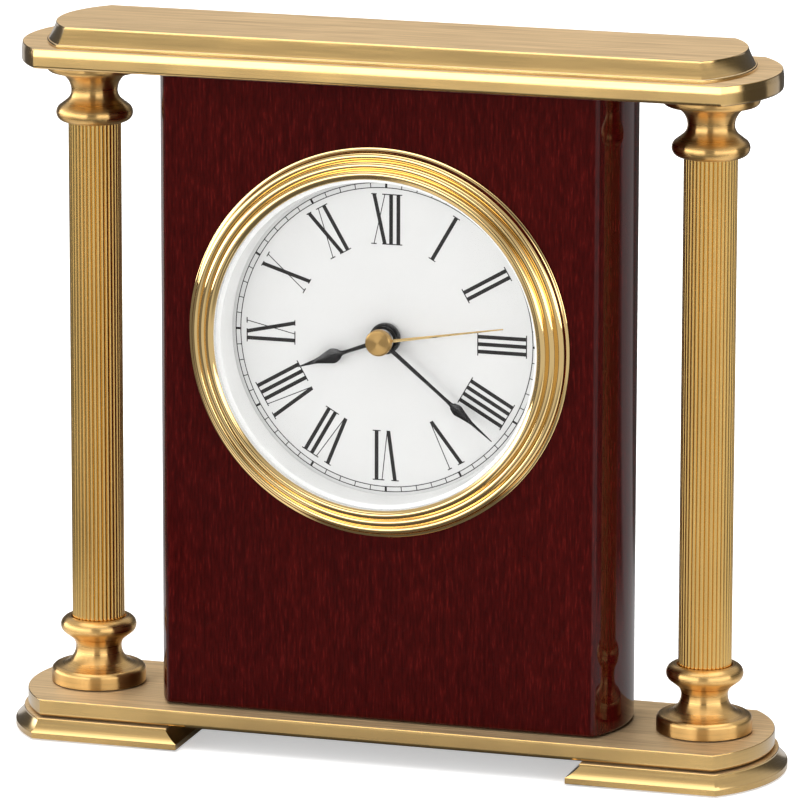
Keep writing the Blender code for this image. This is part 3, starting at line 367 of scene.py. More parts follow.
LOOKS = {
    "brushed_brass": brushed_brass("brushed_brass", FLAT_BRASS_WITH_SHADE, EDGE_BRASS),
    "polished_brass": turned_brass("polished_brass", BEZEL_BRASS, 0.06, 0.0003, 0.0, 0.05),
    "turned_brass": turned_brass("turned_brass", WARM_BRASS, 0.29, 0.006, 0.92, 0.24),
    "fluted_brass": fluted_brass("fluted_brass", TUBE_BRASS, 0.17),
    "hand_brass": cap_brass("hand_brass", (0.56, 0.35, 0.13)),
    "rosewood": rosewood("rosewood"),
    "felt": felt_look("felt"),
    "steel": satin("steel", (0.60, 0.60, 0.61), 0.30, 1500, 0.002, 0.08, 1.0),
    "glass": glass_look("glass"),
    "white_enamel": satin("white_enamel", (0.74, 0.74, 0.73), 0.42, 2400, 0.002, 0.012),
    # Painted glow: the white ring gives off a little light of its own, so it stands brighter than the light
    # on it makes it.
    "white_ring": satin("white_ring", (0.94, 0.94, 0.925), 0.10, 500, 0.002, 0.012, 0.0,
                        Emission_Color=(1.0, 1.0, 0.98, 1.0), Emission_Strength=0.08),
    "ink": satin("ink", (0.010, 0.008, 0.007), 0.6, 2500, 0.003, 0.2),
    "black_enamel": satin("black_enamel", (0.014, 0.013, 0.013), 0.24, 900, 0.0006, 0.15),
    "black_plastic": satin("black_plastic", (0.022, 0.022, 0.024), 0.48, 2200, 0.02, 0.12),
    "white_plastic": satin("white_plastic", (0.78, 0.78, 0.75), 0.42, 1200, 0.006, 0.03),
    "rubber": satin("rubber", (0.018, 0.018, 0.019), 0.75, 1800, 0.015, 0.15),
    "copper": satin("copper", (0.72, 0.30, 0.13), 0.32, 1800, 0.004, 0.1, 1.0),
    "circuit_board": satin("circuit_board", (0.02, 0.16, 0.06), 0.45, 1400, 0.008, 0.15),
    "battery_sleeve": satin("battery_sleeve", (0.09, 0.10, 0.13), 0.25, 700, 0.004, 0.05,
                            Coat_Weight=0.5),
}


# ---- mesh helpers

def arc(centre, radius, start, end, steps):
    """Points on an arc, with its angles in degrees."""
    points = []
    for index in range(steps + 1):
        angle = math.radians(start + (end - start) * index / steps)
        points.append((centre[0] + radius * math.cos(angle), centre[1] + radius * math.sin(angle)))
    return points


SHARP = 32  # edges that turn by more degrees than this are shaded sharp


def smooth(mesh, sharp=SHARP):
    mesh.shade_smooth()
    mesh.set_sharp_from_angle(angle=math.radians(sharp))


def to_object(name, shape, placing=Matrix.Identity(4), sharp=SHARP):
    """A mesh object from a bmesh in millimetres, smooth except at its sharp edges."""
    bmesh.ops.recalc_face_normals(shape, faces=shape.faces)
    bmesh.ops.scale(shape, verts=shape.verts, vec=(MM, MM, MM))
    mesh = bpy.data.meshes.new(name)
    shape.to_mesh(mesh)
    shape.free()
    smooth(mesh, sharp)
    piece = bpy.data.objects.new(name, mesh)
    bpy.context.scene.collection.objects.link(piece)
    piece.matrix_world = placing
    return piece


def skin(shape, loops, closed=True):
    """Quads between rings of vertices, the last joined to the first where the section is closed."""
    pairs = list(zip(loops, loops[1:]))
    if closed:
        pairs.append((loops[-1], loops[0]))
    for lower, upper in pairs:
        for index, vertex in enumerate(lower):
            following = (index + 1) % len(lower)
            if vertex is upper[index]:
                shape.faces.new((vertex, lower[following], upper[following]))
            else:
                shape.faces.new((vertex, lower[following], upper[following], upper[index]))


def circle(radius, steps, swell=None):
    """Points round the axis; the swell gives the share of the radius at an angle."""
    points = []
    for index in range(steps):
        angle = 2 * math.pi * index / steps
        reach = radius if swell is None else radius * swell(angle)
        points.append((reach * math.cos(angle), reach * math.sin(angle)))
    return points


def ring(shape, outline, height):
    return [shape.verts.new((x, y, height)) for x, y in outline]


def revolve(shape, profile, steps):
    """Add a ring-shaped solid: a closed profile of (radius, height) turned about Z."""
    skin(shape, [ring(shape, circle(radius, steps), height) for radius, height in profile])


def revolve_solid(shape, profile, steps):
    """Add a solid turned about Z whose profile starts and ends on the axis."""
    loops = [ring(shape, circle(radius, steps), height) for radius, height in profile[1:-1]]
    skin(shape, loops, closed=False)
    shape.faces.new(loops[0])
    shape.faces.new(loops[-1][::-1])


def loft(shape, rings):
    """Add a solid skinned over outlines with the same number of points: (height, outline)."""
    loops = [ring(shape, outline, height) for height, outline in rings]
    skin(shape, loops, closed=False)
    shape.faces.new(loops[0][::-1])
    shape.faces.new(loops[-1])


def prism(shape, outline, low, high):
    loft(shape, [(low, outline), (high, outline)])


def apply_modifiers(piece):
    bpy.context.view_layer.update()
    shown = piece.evaluated_get(bpy.context.evaluated_depsgraph_get())
    piece.data = bpy.data.meshes.new_from_object(shown)
    piece.modifiers.clear()


def settle_normals(piece):
    """Let the large flat faces decide the shading beside them, so that it stays flat across them."""
    modifier = piece.modifiers.new("settle", "WEIGHTED_NORMAL")
    modifier.keep_sharp = True
    modifier.weight = 100
    apply_modifiers(piece)


def finish(piece, look, body, slot, *nodes):
    """Give a piece its look and its body, with its shading settled, instead of the CAD nodes named."""
    settle_normals(piece)
    piece.data.materials.clear()
    piece.data.materials.append(LOOKS[look])
    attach(piece, body)
    if nodes:
        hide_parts(*nodes)


def cut(piece, *cutters):
    """Cut solids out of a piece, and delete them."""
    for cutter in cutters:
        modifier = piece.modifiers.new("cut", "BOOLEAN")
        modifier.operation = "DIFFERENCE"
        modifier.solver = "EXACT"
        modifier.object = cutter
    apply_modifiers(piece)
    smooth(piece.data)
    for cutter in cutters:
        bpy.data.objects.remove(cutter, do_unlink=True)


def round_edges(piece, width):
    modifier = piece.modifiers.new("round", "BEVEL")
    modifier.width = width * MM
    modifier.segments = 3
    modifier.limit_method = "ANGLE"
    modifier.angle_limit = math.radians(35)
    apply_modifiers(piece)
    smooth(piece.data)


def upright_cylinder(name, x, radius, low, high):
    shape = bmesh.new()
    prism(shape, circle(radius, 32), low, high)
    return to_object(name, shape, Matrix.Translation((x * MM, 0, 0)))


# ---- plates, cap and feet

def bow_end(plan, side):
    """The bowed end of a plan on one side, in counter-clockwise order."""
    corner, depth, bow = plan
    radius = (depth ** 2 + bow ** 2) / (2 * bow)
    sweep = math.degrees(math.asin(depth / radius))
    points = arc((corner + bow - radius, 0), radius, -sweep, sweep, BOW_STEPS)
    return [(side * x, side * y) for x, y in points]


def slab_outline(plan):
    return bow_end(plan, 1) + bow_end(plan, -1)


def foot_outline(plan, inner, side):
    depth = plan[1]
    return bow_end(plan, side) + [(side * inner, side * depth), (side * inner, -side * depth)]


def shrink(plan, amount):
    """The plan drawn in all round by an amount, its ends staying concentric."""
    corner, depth, bow = plan
    radius = (depth ** 2 + bow ** 2) / (2 * bow)
    centre = corner + bow - radius
    new_corner = centre + math.sqrt((radius - amount) ** 2 - (depth - amount) ** 2)
    return new_corner, depth - amount, centre + radius - amount - new_corner


def plan_of(corner, box_high):
    """A plan from its corner and the highest corner of its box."""
    return corner[0], corner[1], box_high.x - corner[0]


def blend(first, second, share):
    return tuple(a + (b - a) * share for a, b in zip(first, second))


def crowned_edge(low, high, edge):
    """Heights and insets up a plate's edge: a round below, a face that leans back above, a small round."""
    lower_round, crown_start, crown_tilt = edge
    points = [(low + lower_round * (1 - math.cos(math.radians(turn))),
               lower_round * (1 - math.sin(math.radians(turn)))) for turn in ROUND_TURNS]
    height, inset = low + (high - low) * crown_start, 0.0
    points.append((height, inset))
    rise = (high - UPPER_ROUND - height) / CROWN_STEPS
    start = math.radians(crown_tilt)
    for index in range(CROWN_STEPS):
        height += rise
        inset += rise * math.tan(start * min(1.0, CROWN_RUSH * (index + 0.5) / CROWN_STEPS))
        points.append((height, inset))
    for turn in ROUND_TURNS[1:]:
        tilt = start + (math.pi / 2 - start) * turn / 90
        points.append((height + UPPER_ROUND * (math.sin(tilt) - math.sin(start)) / (1 - math.sin(start)),
                       inset + UPPER_ROUND * (math.cos(start) - math.cos(tilt))))
    return points


def build_plates():
    plan = plan_of(SLAB_CORNER, BASE_HIGH)
    for name, low, high, edge in (("base_plate", BASE_LOW.z, BASE_HIGH.z, BASE_EDGE),
                                  ("top_plate", TOP_LOW.z, TOP_HIGH.z, TOP_EDGE)):
        shape = bmesh.new()
        rings = crowned_edge(low, high, edge)
        loft(shape, [(height, slab_outline(shrink(plan, inset))) for height, inset in rings])
        slab = to_object(f"{name}_finished", shape)
        if name == "base_plate":
            radius, depth = HEAD_RECESS
            middles = [sum(span(f"lower_block_screw_{word}"), Vector()).x / 2 for word in SIDES]
            cut(slab, *(upright_cylinder("recess", x, radius, low - 1, low + depth) for x in middles))
        finish(slab, "brushed_brass", "case", "brushed_brass", name)


def cove(start, end, steps, share_start):
    """Shares of the way in and up along a concave arc that ends steep: (way in, way up)."""
    first = math.radians(start)
    last = math.radians(end)
    points = []
    for index in range(steps + 1):
        turn = first + (last - first) * index / steps
        way_in = (math.sin(turn) - math.sin(first)) / (math.sin(last) - math.sin(first))
        way_up = (math.cos(first) - math.cos(turn)) / (math.cos(first) - math.cos(last))
        points.append((share_start + (1 - share_start) * way_in, way_up))
    return points


def build_cap():
    """A slab with a rounded lip below and a slightly hollow slope above, brushed on top."""
    lower = plan_of(CAP_CORNER, CAP_HIGH)
    bottom = TOP_HIGH.z
    lip = bottom + CAP_LIP
    plans = [(bottom, shrink(lower, 0.05)), (bottom + 0.05, lower)]
    for turn in ROUND_TURNS:
        angle = math.radians(turn)
        plans.append((lip - CAP_LIP_ROUND * (1 - math.sin(angle)),
                      shrink(lower, CAP_LIP_ROUND * (1 - math.cos(angle)))))
    foot = lip + 0.04
    rise = CAP_HIGH.z - CAP_LEDGE - foot
    plans += [(foot + rise * way_up, blend(lower, CAP_TOP_PLAN, way_in))
              for way_in, way_up in cove(*CAP_COVE)]
    plans += [(CAP_HIGH.z - CAP_EASE, CAP_TOP_PLAN), (CAP_HIGH.z, shrink(CAP_TOP_PLAN, CAP_EASE))]
    shape = bmesh.new()
    loft(shape, [(height, slab_outline(plan)) for height, plan in plans])
    finish(to_object("top_cap_finished", shape), "brushed_brass", "case", "brushed_brass", "top_cap")


def foot_profile():
    """Up the side of a foot: height, share of the way in, and inset of a bevel."""
    bottom = FOOT_LOW.z
    lip = bottom + FOOT_LIP
    profile = [(bottom, 0.0, FOOT_EASE), (bottom + FOOT_EASE, 0.0, 0.0), (lip - FOOT_EASE, 0.0, 0.0),
               (lip, 0.0, FOOT_EASE)]
    foot = lip + 0.08
    top = FOOT_HIGH.z - FOOT_LEDGE
    profile += [(foot + (top - foot) * way_up, way_in, 0.0) for way_in, way_up in cove(*FOOT_COVE)]
    return profile + [(top + 0.04, FOOT_TOP_SHARE, 0.0), (FOOT_HIGH.z - 0.1, FOOT_TOP_SHARE, 0.0),
                      (FOOT_HIGH.z, FOOT_TOP_SHARE, 0.1)]


def build_feet():
    """Coved feet under the ends of the base plate, hollowed below for their felt pads."""
    lower = plan_of(FOOT_CORNER, FOOT_HIGH)
    inner = FOOT_LOW.x
    for word, side in zip(SIDES, (-1, 1)):
        rings = []
        for height, way_in, inset in foot_profile():
            plan = shrink(blend(lower, FOOT_TOP_PLAN, way_in), inset)
            rings.append((height, foot_outline(plan, inner + FOOT_INNER_RISE * way_in + inset, side)))
        shape = bmesh.new()
        loft(shape, rings)
        piece = to_object(f"foot_{word}_finished", shape)
        pad_low, pad_high = span(f"felt_{word}")
        recess = bmesh.new()
        outline = foot_outline(shrink(lower, PAD_RECESS), inner + PAD_RECESS, side)
        prism(recess, outline, -1, pad_high.z + 0.3)
        cut(piece, to_object("recess", recess))
        finish(piece, "brushed_brass", "case", "brushed_brass", f"foot_{word}")
        pad = bmesh.new()
        prism(pad, foot_outline(shrink(lower, PAD_INSET), inner + PAD_INSET, side), pad_low.z, pad_high.z)
        felt = to_object(f"felt_{word}_finished", pad)
        round_edges(felt, FELT_ROUND)
        finish(felt, "felt", "case", "felt", f"felt_{word}")


def build_block():
    """The lacquered block: flat front and back, bowed sides, softly rounded upright edges."""
    plan = plan_of(BLOCK_CORNER, BLOCK_HIGH)
    outline = rounded_bow(plan, 1, BLOCK_ROUND) + rounded_bow(plan, -1, BLOCK_ROUND)
    turns = [math.pi / 2 * index / BLOCK_ROUND_STEPS for index in range(BLOCK_ROUND_STEPS + 1)]
    small = [BLOCK_END_ROUND * (1 - math.cos(turn)) for turn in turns]
    large = [BLOCK_END_ROUND * (1 - math.sin(turn)) for turn in turns]
    rings = [(BLOCK_LOW.z + up, inset_outline(outline, inset)) for up, inset in zip(small, large)]
    rings += [(BLOCK_HIGH.z - down, inset_outline(outline, inset)) for down, inset in zip(large, small)]
    shape = bmesh.new()
    loft(shape, rings)
    block = to_object("case_block_finished", shape)
    bore = bmesh.new()
    revolve_solid(bore, [(0, -BORE_REACH), (BORE_RADIUS, -BORE_REACH), (BORE_RADIUS, BORE_REACH),
                         (0, BORE_REACH)], 180)
    middle = Matrix.Translation((0, 0, INSERT_Z * MM)) @ Matrix.Rotation(math.radians(90), 4, "X")
    cut(block, to_object("bore", bore, middle))
    finish(block, "rosewood", "case", "rosewood", "case_block")


def rounded_bow(plan, side, radius):
    """A bowed end whose two corners are rounded off."""
    corner, depth, bow = plan
    large = (depth ** 2 + bow ** 2) / (2 * bow)
    centre = corner + bow - large
    # The rounding circle touches the flat face and the bow from inside.
    y = depth - radius
    x = centre + math.sqrt((large - radius) ** 2 - y ** 2)
    meet = math.degrees(math.atan2(y, x - centre))
    points = arc((x, -y), radius, -90, -meet, 8)
    points += arc((centre, 0), large, -meet, meet, BOW_STEPS)[1:-1]
    points += arc((x, y), radius, meet, 90, 8)
    return [(side * px, side * py) for px, py in points]


def inset_outline(outline, amount):
    """Each point moved in along the average of its two edges' normals."""
    moved = []
    count = len(outline)
    for index, (x, y) in enumerate(outline):
        before = outline[index - 1]
        after = outline[(index + 1) % count]
        tangent = Vector((after[0] - before[0], after[1] - before[1])).normalized()
        moved.append((x - tangent.y * amount, y + tangent.x * amount))
    return moved


# ---- columns

REEDS = 36
REED_DEPTH = 0.05  # share of the tube's radius
REED_STEPS = 8
TUBE_BORE = 5.1
TUBE_ENDS = 0.25
# Section of the pedestals and capitals. Heights count down from the end that holds the tube.
SEAT = (6.4, 1.15)  # radius and depth of the seat for the tube
TORUS = (6.8, 2.05)  # its centre's radius, and its own radius
NECK_DEPTH = 7.15
NECK_UPPER = (8.2, 2.85)
NECK_LOWER = (9.8, 4.45)
FLANGE_DEPTH = 5.72  # below the neck
FLANGE_ROUND = 1.25
ROD_BORE = 1.8


def turned_profile(node):
    """Section of a pedestal or capital, from the seat's rim down its outside and up its bore."""
    low, high = span(node)
    end = high.z - low.z
    flange = (high.x - low.x) / 2
    neck = end - NECK_DEPTH
    seat_radius, seat_depth = SEAT
    profile = [(seat_radius, end - 0.1), (seat_radius + 0.1, end), (7.1, end)]
    profile += arc((TORUS[0], end - TORUS[1]), TORUS[1], 70, -58, 18)
    profile += arc((NECK_UPPER[0], neck), NECK_UPPER[1], 126, 180, 10)
    profile += arc((NECK_LOWER[0], neck), NECK_LOWER[1], 186, 262, 16)
    profile += arc((flange - FLANGE_ROUND, neck - FLANGE_DEPTH), FLANGE_ROUND, 88, 0, 10)
    return profile + [(flange, 0.1), (flange - 0.1, 0), (ROD_BORE, 0), (ROD_BORE, end - seat_depth),
                      (seat_radius, end - seat_depth)]


def reed_swell(angle):
    """Radius of the reeded tube round its axis, as a share of the crest's radius."""
    phase = (angle * REEDS / (2 * math.pi)) % 1.0
    return 1 - REED_DEPTH * (1 - math.sqrt(max(0.0, 1 - (2 * phase - 1) ** 2)))


def build_turned_ends(word, x):
    for kind, height, turn in (("pedestal", span(f"pedestal_{word}")[0].z, 0),
                               ("capital", span(f"capital_{word}")[1].z, 180)):
        shape = bmesh.new()
        revolve(shape, turned_profile(f"{kind}_{word}"), 128)
        placing = Matrix.Translation((x * MM, 0, height * MM)) @ Matrix.Rotation(math.radians(turn), 4, "X")
        piece = to_object(f"{kind}_{word}_finished", shape, placing, 28)
        finish(piece, "turned_brass", "case", "turned_brass", f"{kind}_{word}")


def build_columns():
    for word in SIDES:
        low, high = span(f"column_tube_{word}")
        radius = (high.x - low.x) / 2
        x = (low.x + high.x) / 2
        build_turned_ends(word, x)
        shape = bmesh.new()
        end = radius - TUBE_ENDS
        steps = REEDS * REED_STEPS
        skin(shape, [ring(shape, circle(reach, steps, None if reach == TUBE_BORE else reed_swell), height)
                     for reach, height in ((TUBE_BORE, high.z), (end, high.z), (radius, high.z - TUBE_ENDS),
                                           (radius, low.z + TUBE_ENDS), (end, low.z), (TUBE_BORE, low.z))])
        piece = to_object(f"column_tube_{word}_finished", shape, Matrix.Translation((x * MM, 0, 0)), 50)
        finish(piece, "fluted_brass", "case", "fluted_brass", f"column_tube_{word}")


# ---- insert

RING_LIP = 38.2  # radius where the white ring stands round the lens
RING_THROAT = (36.6, 37.32)  # its inner radius behind and in front
RING_OUTSIDE = (37.9, 38.62)
LENS_EASE = 0.15
CLEARANCE = 0.02
# Ridges of the bezel: radius of the crest, its height, radius of its round, the round's start and end.
RIDGES = ((39.35, 3.86, 0.95, 140, 15), (41.25, 3.0, 1.0, 135, 15), (43.2, 2.05, 1.0, 135, 8))
RIM = ((44.4, 0.74), (44.66, 0.6), (44.9, 0.56))  # down from the last ridge to the bezel's edge
RIM_HEIGHT = 0.48
BEZEL_BORE = 39.2
BEZEL_STEP = 1.3  # height where the bore widens for the ring
TURNED_STEPS = 224


def build_bezel():
    """Three round ridges that step down to a thin rim."""
    profile = [(RING_LIP, 3.35)]
    for crest, top, radius, start, end in RIDGES:
        profile += arc((crest, top - radius), radius, start, end, 18)
    seat = LENS_RADIUS + 0.3
    profile += [*RIM, (BEZEL_RADIUS, RIM_HEIGHT), (BEZEL_RADIUS, CLEARANCE), (BEZEL_BORE, CLEARANCE),
                (BEZEL_BORE, BEZEL_STEP), (seat, BEZEL_STEP), (seat, LENS_FRONT + CLEARANCE),
                (RING_LIP, LENS_FRONT + CLEARANCE)]
    shape = bmesh.new()
    revolve(shape, profile, TURNED_STEPS)
    piece = to_object("bezel_finished", shape, INSERT, 25)
    finish(piece, "polished_brass", "insert", "polished_brass", "bezel")


def build_lens():
    rim = RING_LIP - 0.05
    shape = bmesh.new()
    revolve_solid(shape, [(0, LENS_FRONT), (rim - LENS_EASE, LENS_FRONT), (rim, LENS_FRONT - LENS_EASE),
                          (rim, LENS_BACK + LENS_EASE), (rim - LENS_EASE, LENS_BACK), (0, LENS_BACK)], 180)
    finish(to_object("lens_finished", shape, INSERT), "glass", "insert", "glass", "lens")


def build_white_ring():
    """The white ring that holds the lens round its edge and slopes down to the dial."""
    low, high = span("rehaut_ring")
    front, back = FACE_Y - low.y, FACE_Y - high.y
    ease = 0.12
    throat, mouth = RING_THROAT
    waist, shoulder = RING_OUTSIDE
    step = SLEEVE_FRONT + 0.1
    shape = bmesh.new()
    revolve(shape, [(mouth - ease, front - ease), (mouth, front), (RING_LIP, front), (RING_LIP, LENS_FRONT),
                    (shoulder, LENS_FRONT), (shoulder, step), (waist, step), (waist, back),
                    (throat + ease, back), (throat, back + ease)], TURNED_STEPS)
    finish(to_object("rehaut_ring_finished", shape, INSERT), "white_ring", "insert", "white_enamel",
           "rehaut_ring")


# ---- dial

NUMERAL_FOOT = 21.6
NUMERAL_HEAD = 33.3
STEM = 0.88
HAIR = 0.20
SERIF = 0.24
STEM_PITCH = 1.72
V_WIDTH = 3.1
X_WIDTH = 2.6
NUMERALS = ("XII", "I", "II", "III", "IIII", "V", "VI", "VII", "VIII", "IX", "X", "XI")
TRACK_OUTER = 35.95
TRACK_INNER = 34.8
TRACK_LINE = 0.2
TRACK_OVERLAP = 0.08
TICK = 0.1  # half widths of a minute's and of an hour's tick
HOUR_TICK = 0.26
DIAL_BORE = 2.9
INK = 0.02  # thickness of the print; strokes that cross are raised a little, layer by layer
LAYER = 0.0008


def stroke(start, end, foot_v, head_v, width):
    """A stroke between two places along the baseline, cut level at its foot and head."""
    half = width / 2
    return [(start - half, foot_v), (start + half, foot_v), (end + half, head_v), (end - half, head_v)]


# Room between a letter and the one before it.
GAP_BEFORE = {"I": {None: 0.0, "I": STEM_PITCH, "V": 1.3, "X": 1.45}, "V": {None: 0.0, "I": 1.5},
              "X": {None: 0.0, "I": 1.5}}


def letter_strokes(letter, u):
    """Quads of one letter that starts at u, and the width it takes."""
    height = NUMERAL_HEAD - NUMERAL_FOOT

    def head_serif(place, width):
        return stroke(place, place, height - SERIF, height, width)

    def foot_serif(place, width):
        return stroke(place, place, 0, SERIF, width)

    if letter == "I":
        return [stroke(u, u, 0, height, STEM), foot_serif(u, STEM + 1.0), head_serif(u, STEM + 1.0)], 0.0
    if letter == "V":
        foot = u + V_WIDTH * 0.52
        return [stroke(foot, u, 0, height, STEM), stroke(foot + 0.25, u + V_WIDTH, 0, height, HAIR),
                head_serif(u, STEM + 0.9), head_serif(u + V_WIDTH, 1.1)], V_WIDTH
    strokes = [stroke(u + X_WIDTH, u, 0, height, STEM), stroke(u, u + X_WIDTH, 0, height, HAIR)]
    for place in (u, u + X_WIDTH):
        strokes += [foot_serif(place, 1.3), head_serif(place, 1.3)]
    return strokes, X_WIDTH


def numeral_strokes(text):
    """Quads of a Roman numeral about u = 0, from v = 0 at its foot to its height."""
    strokes = []
    u = 0.0
    last = None
    for letter in text:
        u += GAP_BEFORE[letter][last]
        quads, width = letter_strokes(letter, u)
        strokes += quads
        u += width
        last = letter
    return [[(x - u / 2, v) for x, v in quad] for quad in strokes]


def print_quad(shape, quad, turn, level):
    """A thin raised patch of ink, turned about the dial's middle."""
    prism(shape, [tuple(turn @ Vector(point)) for point in quad], level, level + INK)


def clock_turn(share):
    """The rotation by a share of a whole turn, clockwise from twelve."""
    return Matrix.Rotation(-2 * math.pi * share, 2)


def build_dial():
    back = FACE_Y - DIAL_HIGH.y
    shape = bmesh.new()
    revolve(shape, [(DIAL_BORE, back), (DIAL_RADIUS, back), (DIAL_RADIUS, DIAL_FRONT),
                    (DIAL_BORE, DIAL_FRONT)], 180)
    finish(to_object("dial_finished", shape, INSERT), "white_enamel", "insert", "white_enamel", "dial")


def build_dial_print():
    """The numerals, the two lines of the minute track and the ticks between them."""
    shape = bmesh.new()
    for hour, text in enumerate(NUMERALS):
        for layer, quad in enumerate(numeral_strokes(text)):
            raised = [(u, NUMERAL_FOOT + v) for u, v in quad]
            print_quad(shape, raised, clock_turn(hour / 12), DIAL_FRONT + LAYER * layer)
    for outer in (TRACK_INNER, TRACK_OUTER):
        inner = outer - TRACK_LINE
        revolve(shape, [(inner, DIAL_FRONT), (outer, DIAL_FRONT), (outer, DIAL_FRONT + INK),
                        (inner, DIAL_FRONT + INK)], 240)
    low, high = TRACK_INNER - TRACK_OVERLAP, TRACK_OUTER - TRACK_OVERLAP
    for minute in range(60):
        half = TICK if minute % 5 else HOUR_TICK
        print_quad(shape, [(-half, low), (half, low), (half, high), (-half, high)], clock_turn(minute / 60),
                   DIAL_FRONT + 0.001)
    finish(to_object("dial_print", shape, INSERT), "ink", "insert", "black_enamel")


# ---- hands

STATION_STEPS = 6


def smooth_stations(stations):
    """More half widths between the ones given, on a smooth curve through them."""
    points = [stations[0]] + list(stations) + [stations[-1]]
    fine = []
    for index in range(1, len(points) - 2):
        before, start, end, after = points[index - 1:index + 3]
        for step in range(STATION_STEPS):
            t = step / STATION_STEPS
            fine.append(tuple(
                0.5 * (2 * start[k] + (end[k] - before[k]) * t
                       + (2 * before[k] - 5 * start[k] + 4 * end[k] - after[k]) * t ** 2
                       + (3 * start[k] - before[k] - 3 * end[k] + after[k]) * t ** 3) for k in range(2)))
    fine.append(stations[-1])
    return fine


def blade(shape, stations, low, high):
    """A hand's blade along +Y with a low ridge down its middle."""
    edge = low + (high - low) * 0.45
    loops = []
    for distance, half in stations:
        loops.append([shape.verts.new(point) for point in (
            (-half, distance, low), (half, distance, low), (half, distance, edge),
            (half * 0.35, distance, high), (-half * 0.35, distance, high), (-half, distance, edge))])
    skin(shape, loops, closed=False)
    shape.faces.new(loops[0])
    shape.faces.new(loops[-1][::-1])


def hand_levels(node):
    """Heights of a hand's back and front in the insert's frame."""
    low, high = span(node)
    return FACE_Y - high.y, FACE_Y - low.y


def turned_by(angle):
    return INSERT @ Matrix.Rotation(-angle, 4, "Z")


# Blades, as distance from the middle and half width there.
HOUR_BLADE = ((2.2, 0.55), (6.0, 0.46), (10.1, 0.48), (11.3, 1.25), (12.7, 1.72), (14.3, 1.35),
              (16.8, 0.62), (19.2, 0.34), (21.6, 0.1))
MINUTE_BLADE = ((1.8, 0.52), (10.0, 0.46), (20.4, 0.42), (22.0, 0.92), (23.4, 1.32), (25.0, 0.95),
                (27.6, 0.42), (30.6, 0.26), (33.9, 0.09))
SECOND_BLADE = ((2.6, 0.36), (10.0, 0.30), (20.0, 0.22), (29.5, 0.15))
SECOND_LEVELS = (-0.9, -0.6)  # back and front of the seconds blade
HUB_STEPS = 64
CAP_RADIUS = 3.0
CAP_ROUND = 0.45


def build_hour_hand():
    low, high = hand_levels("hour_hand")
    shape = bmesh.new()
    blade(shape, smooth_stations(HOUR_BLADE), low, high)
    revolve(shape, [(1.7, low), (3.15, low), (3.3, low + 0.15), (3.3, high - 0.12), (3.18, high),
                    (1.7, high)], HUB_STEPS)
    piece = to_object("hour_hand_finished", shape, turned_by(HOUR_ANGLE))
    finish(piece, "black_enamel", "hour_hand", "black_enamel", "hour_hand")
    collet = bmesh.new()
    revolve(collet, [(2.1, high), (2.52, high), (2.6, high + 0.08), (2.6, high + 0.4), (2.5, high + 0.5),
                     (2.2, high + 0.5), (2.1, high + 0.4)], HUB_STEPS)
    finish(to_object("hour_collet", collet, turned_by(HOUR_ANGLE)), "steel", "hour_hand", "steel")


def build_minute_hand():
    low, high = hand_levels("minute_hand")
    shape = bmesh.new()
    blade(shape, smooth_stations(MINUTE_BLADE), low, high)
    revolve(shape, [(1.1, low), (2.4, low), (2.5, low + 0.1), (2.5, high - 0.1), (2.4, high), (1.1, high)],
            HUB_STEPS)
    piece = to_object("minute_hand_finished", shape, turned_by(MINUTE_ANGLE))
    finish(piece, "black_enamel", "minute_hand", "black_enamel", "minute_hand")


def build_second_hand():
    low, high = hand_levels("second_hand")
    corner = (CAP_RADIUS - CAP_ROUND, high - CAP_ROUND)
    cap = [(0, high), *arc(corner, CAP_ROUND, 90, 0, 6), (CAP_RADIUS, SECOND_LEVELS[0]), (2.9, low),
           (0, low)]
    shape = bmesh.new()
    revolve_solid(shape, cap, 96)
    piece = to_object("second_cap", shape, turned_by(SECOND_ANGLE))
    finish(piece, "hand_brass", "second_hand", "polished_brass", "second_hand")
    shape = bmesh.new()
    blade(shape, SECOND_BLADE, *SECOND_LEVELS)
    piece = to_object("second_blade", shape, turned_by(SECOND_ANGLE))
    finish(piece, "polished_brass", "second_hand", "polished_brass")


def build_dial_nut():
    low, high = hand_levels("dial_nut")
    shape = bmesh.new()
    revolve(shape, [(2.75, low), (3.6, low), (3.6, high - 0.3), (3.3, high), (2.9, high),
                    (2.75, high - 0.1)], 72)
    nut = to_object("dial_nut_finished", shape, INSERT)
    finish(nut, "black_enamel", "insert", "black_enamel", "dial_nut")


# ---- CAD nodes that keep their shape

def dress_cad_nodes():
    """Put the detailed looks on the CAD nodes that stay, by their material slots in the record."""
    slots = {part["node"]: part["material_slot"] for part in frame["record"]["subparts"]}
    for name, node in frame["nodes"].items():
        if node.hide_render:
            continue
        look = LOOKS[slots[name]]
        if not node.data.materials:
            node.data.materials.append(look)
        for index in range(len(node.data.materials)):
            node.data.materials[index] = look


# ---- studio

TARGET = Vector((6.43, 0.0, 85.2))
AZIMUTH = math.radians(16.78)
ELEVATION = math.radians(12.67)
ROLL = math.radians(0.156)
DISTANCE = 1577.9
FRAMING = (-5.757, -3.22)  # where the picture's middle lies from the target, across and up
FOCAL = 6906.3 / 800  # focal length over the picture's width
SENSOR = 36
FLOOR_SIZE = 6000
FLOOR_GLOW = 0.45  # added to what the camera sees of the floor
MIRRORED_TONE = 0.51  # of the floor as mirrors see it, and the share of it left when seen steeply
STEEP_TONE = 0.22
DARK_TONE = (0.07, 0.066, 0.062)  # of the floor's dark sectors, whose depth, azimuths and reach follow
GAP_SECTOR = (0.8, -112, -26)
BEHIND_AZIMUTH = (84, 102)
BEHIND_STRIP = (0.7, 128, 160)
SECTOR_EDGE = 6
DARK_REACH = (0.12, 0.26)
CLOSE_GLOW = 0.6  # added to the steep reflections of the floor beside the clock, and where that is
CLOSE_DEPTH = (0.07, 0.13)
CLOSE_WIDTH = (0.045, 0.065)
DIFFUSE_GAIN = 0.1  # how much more light the diffuse surfaces get
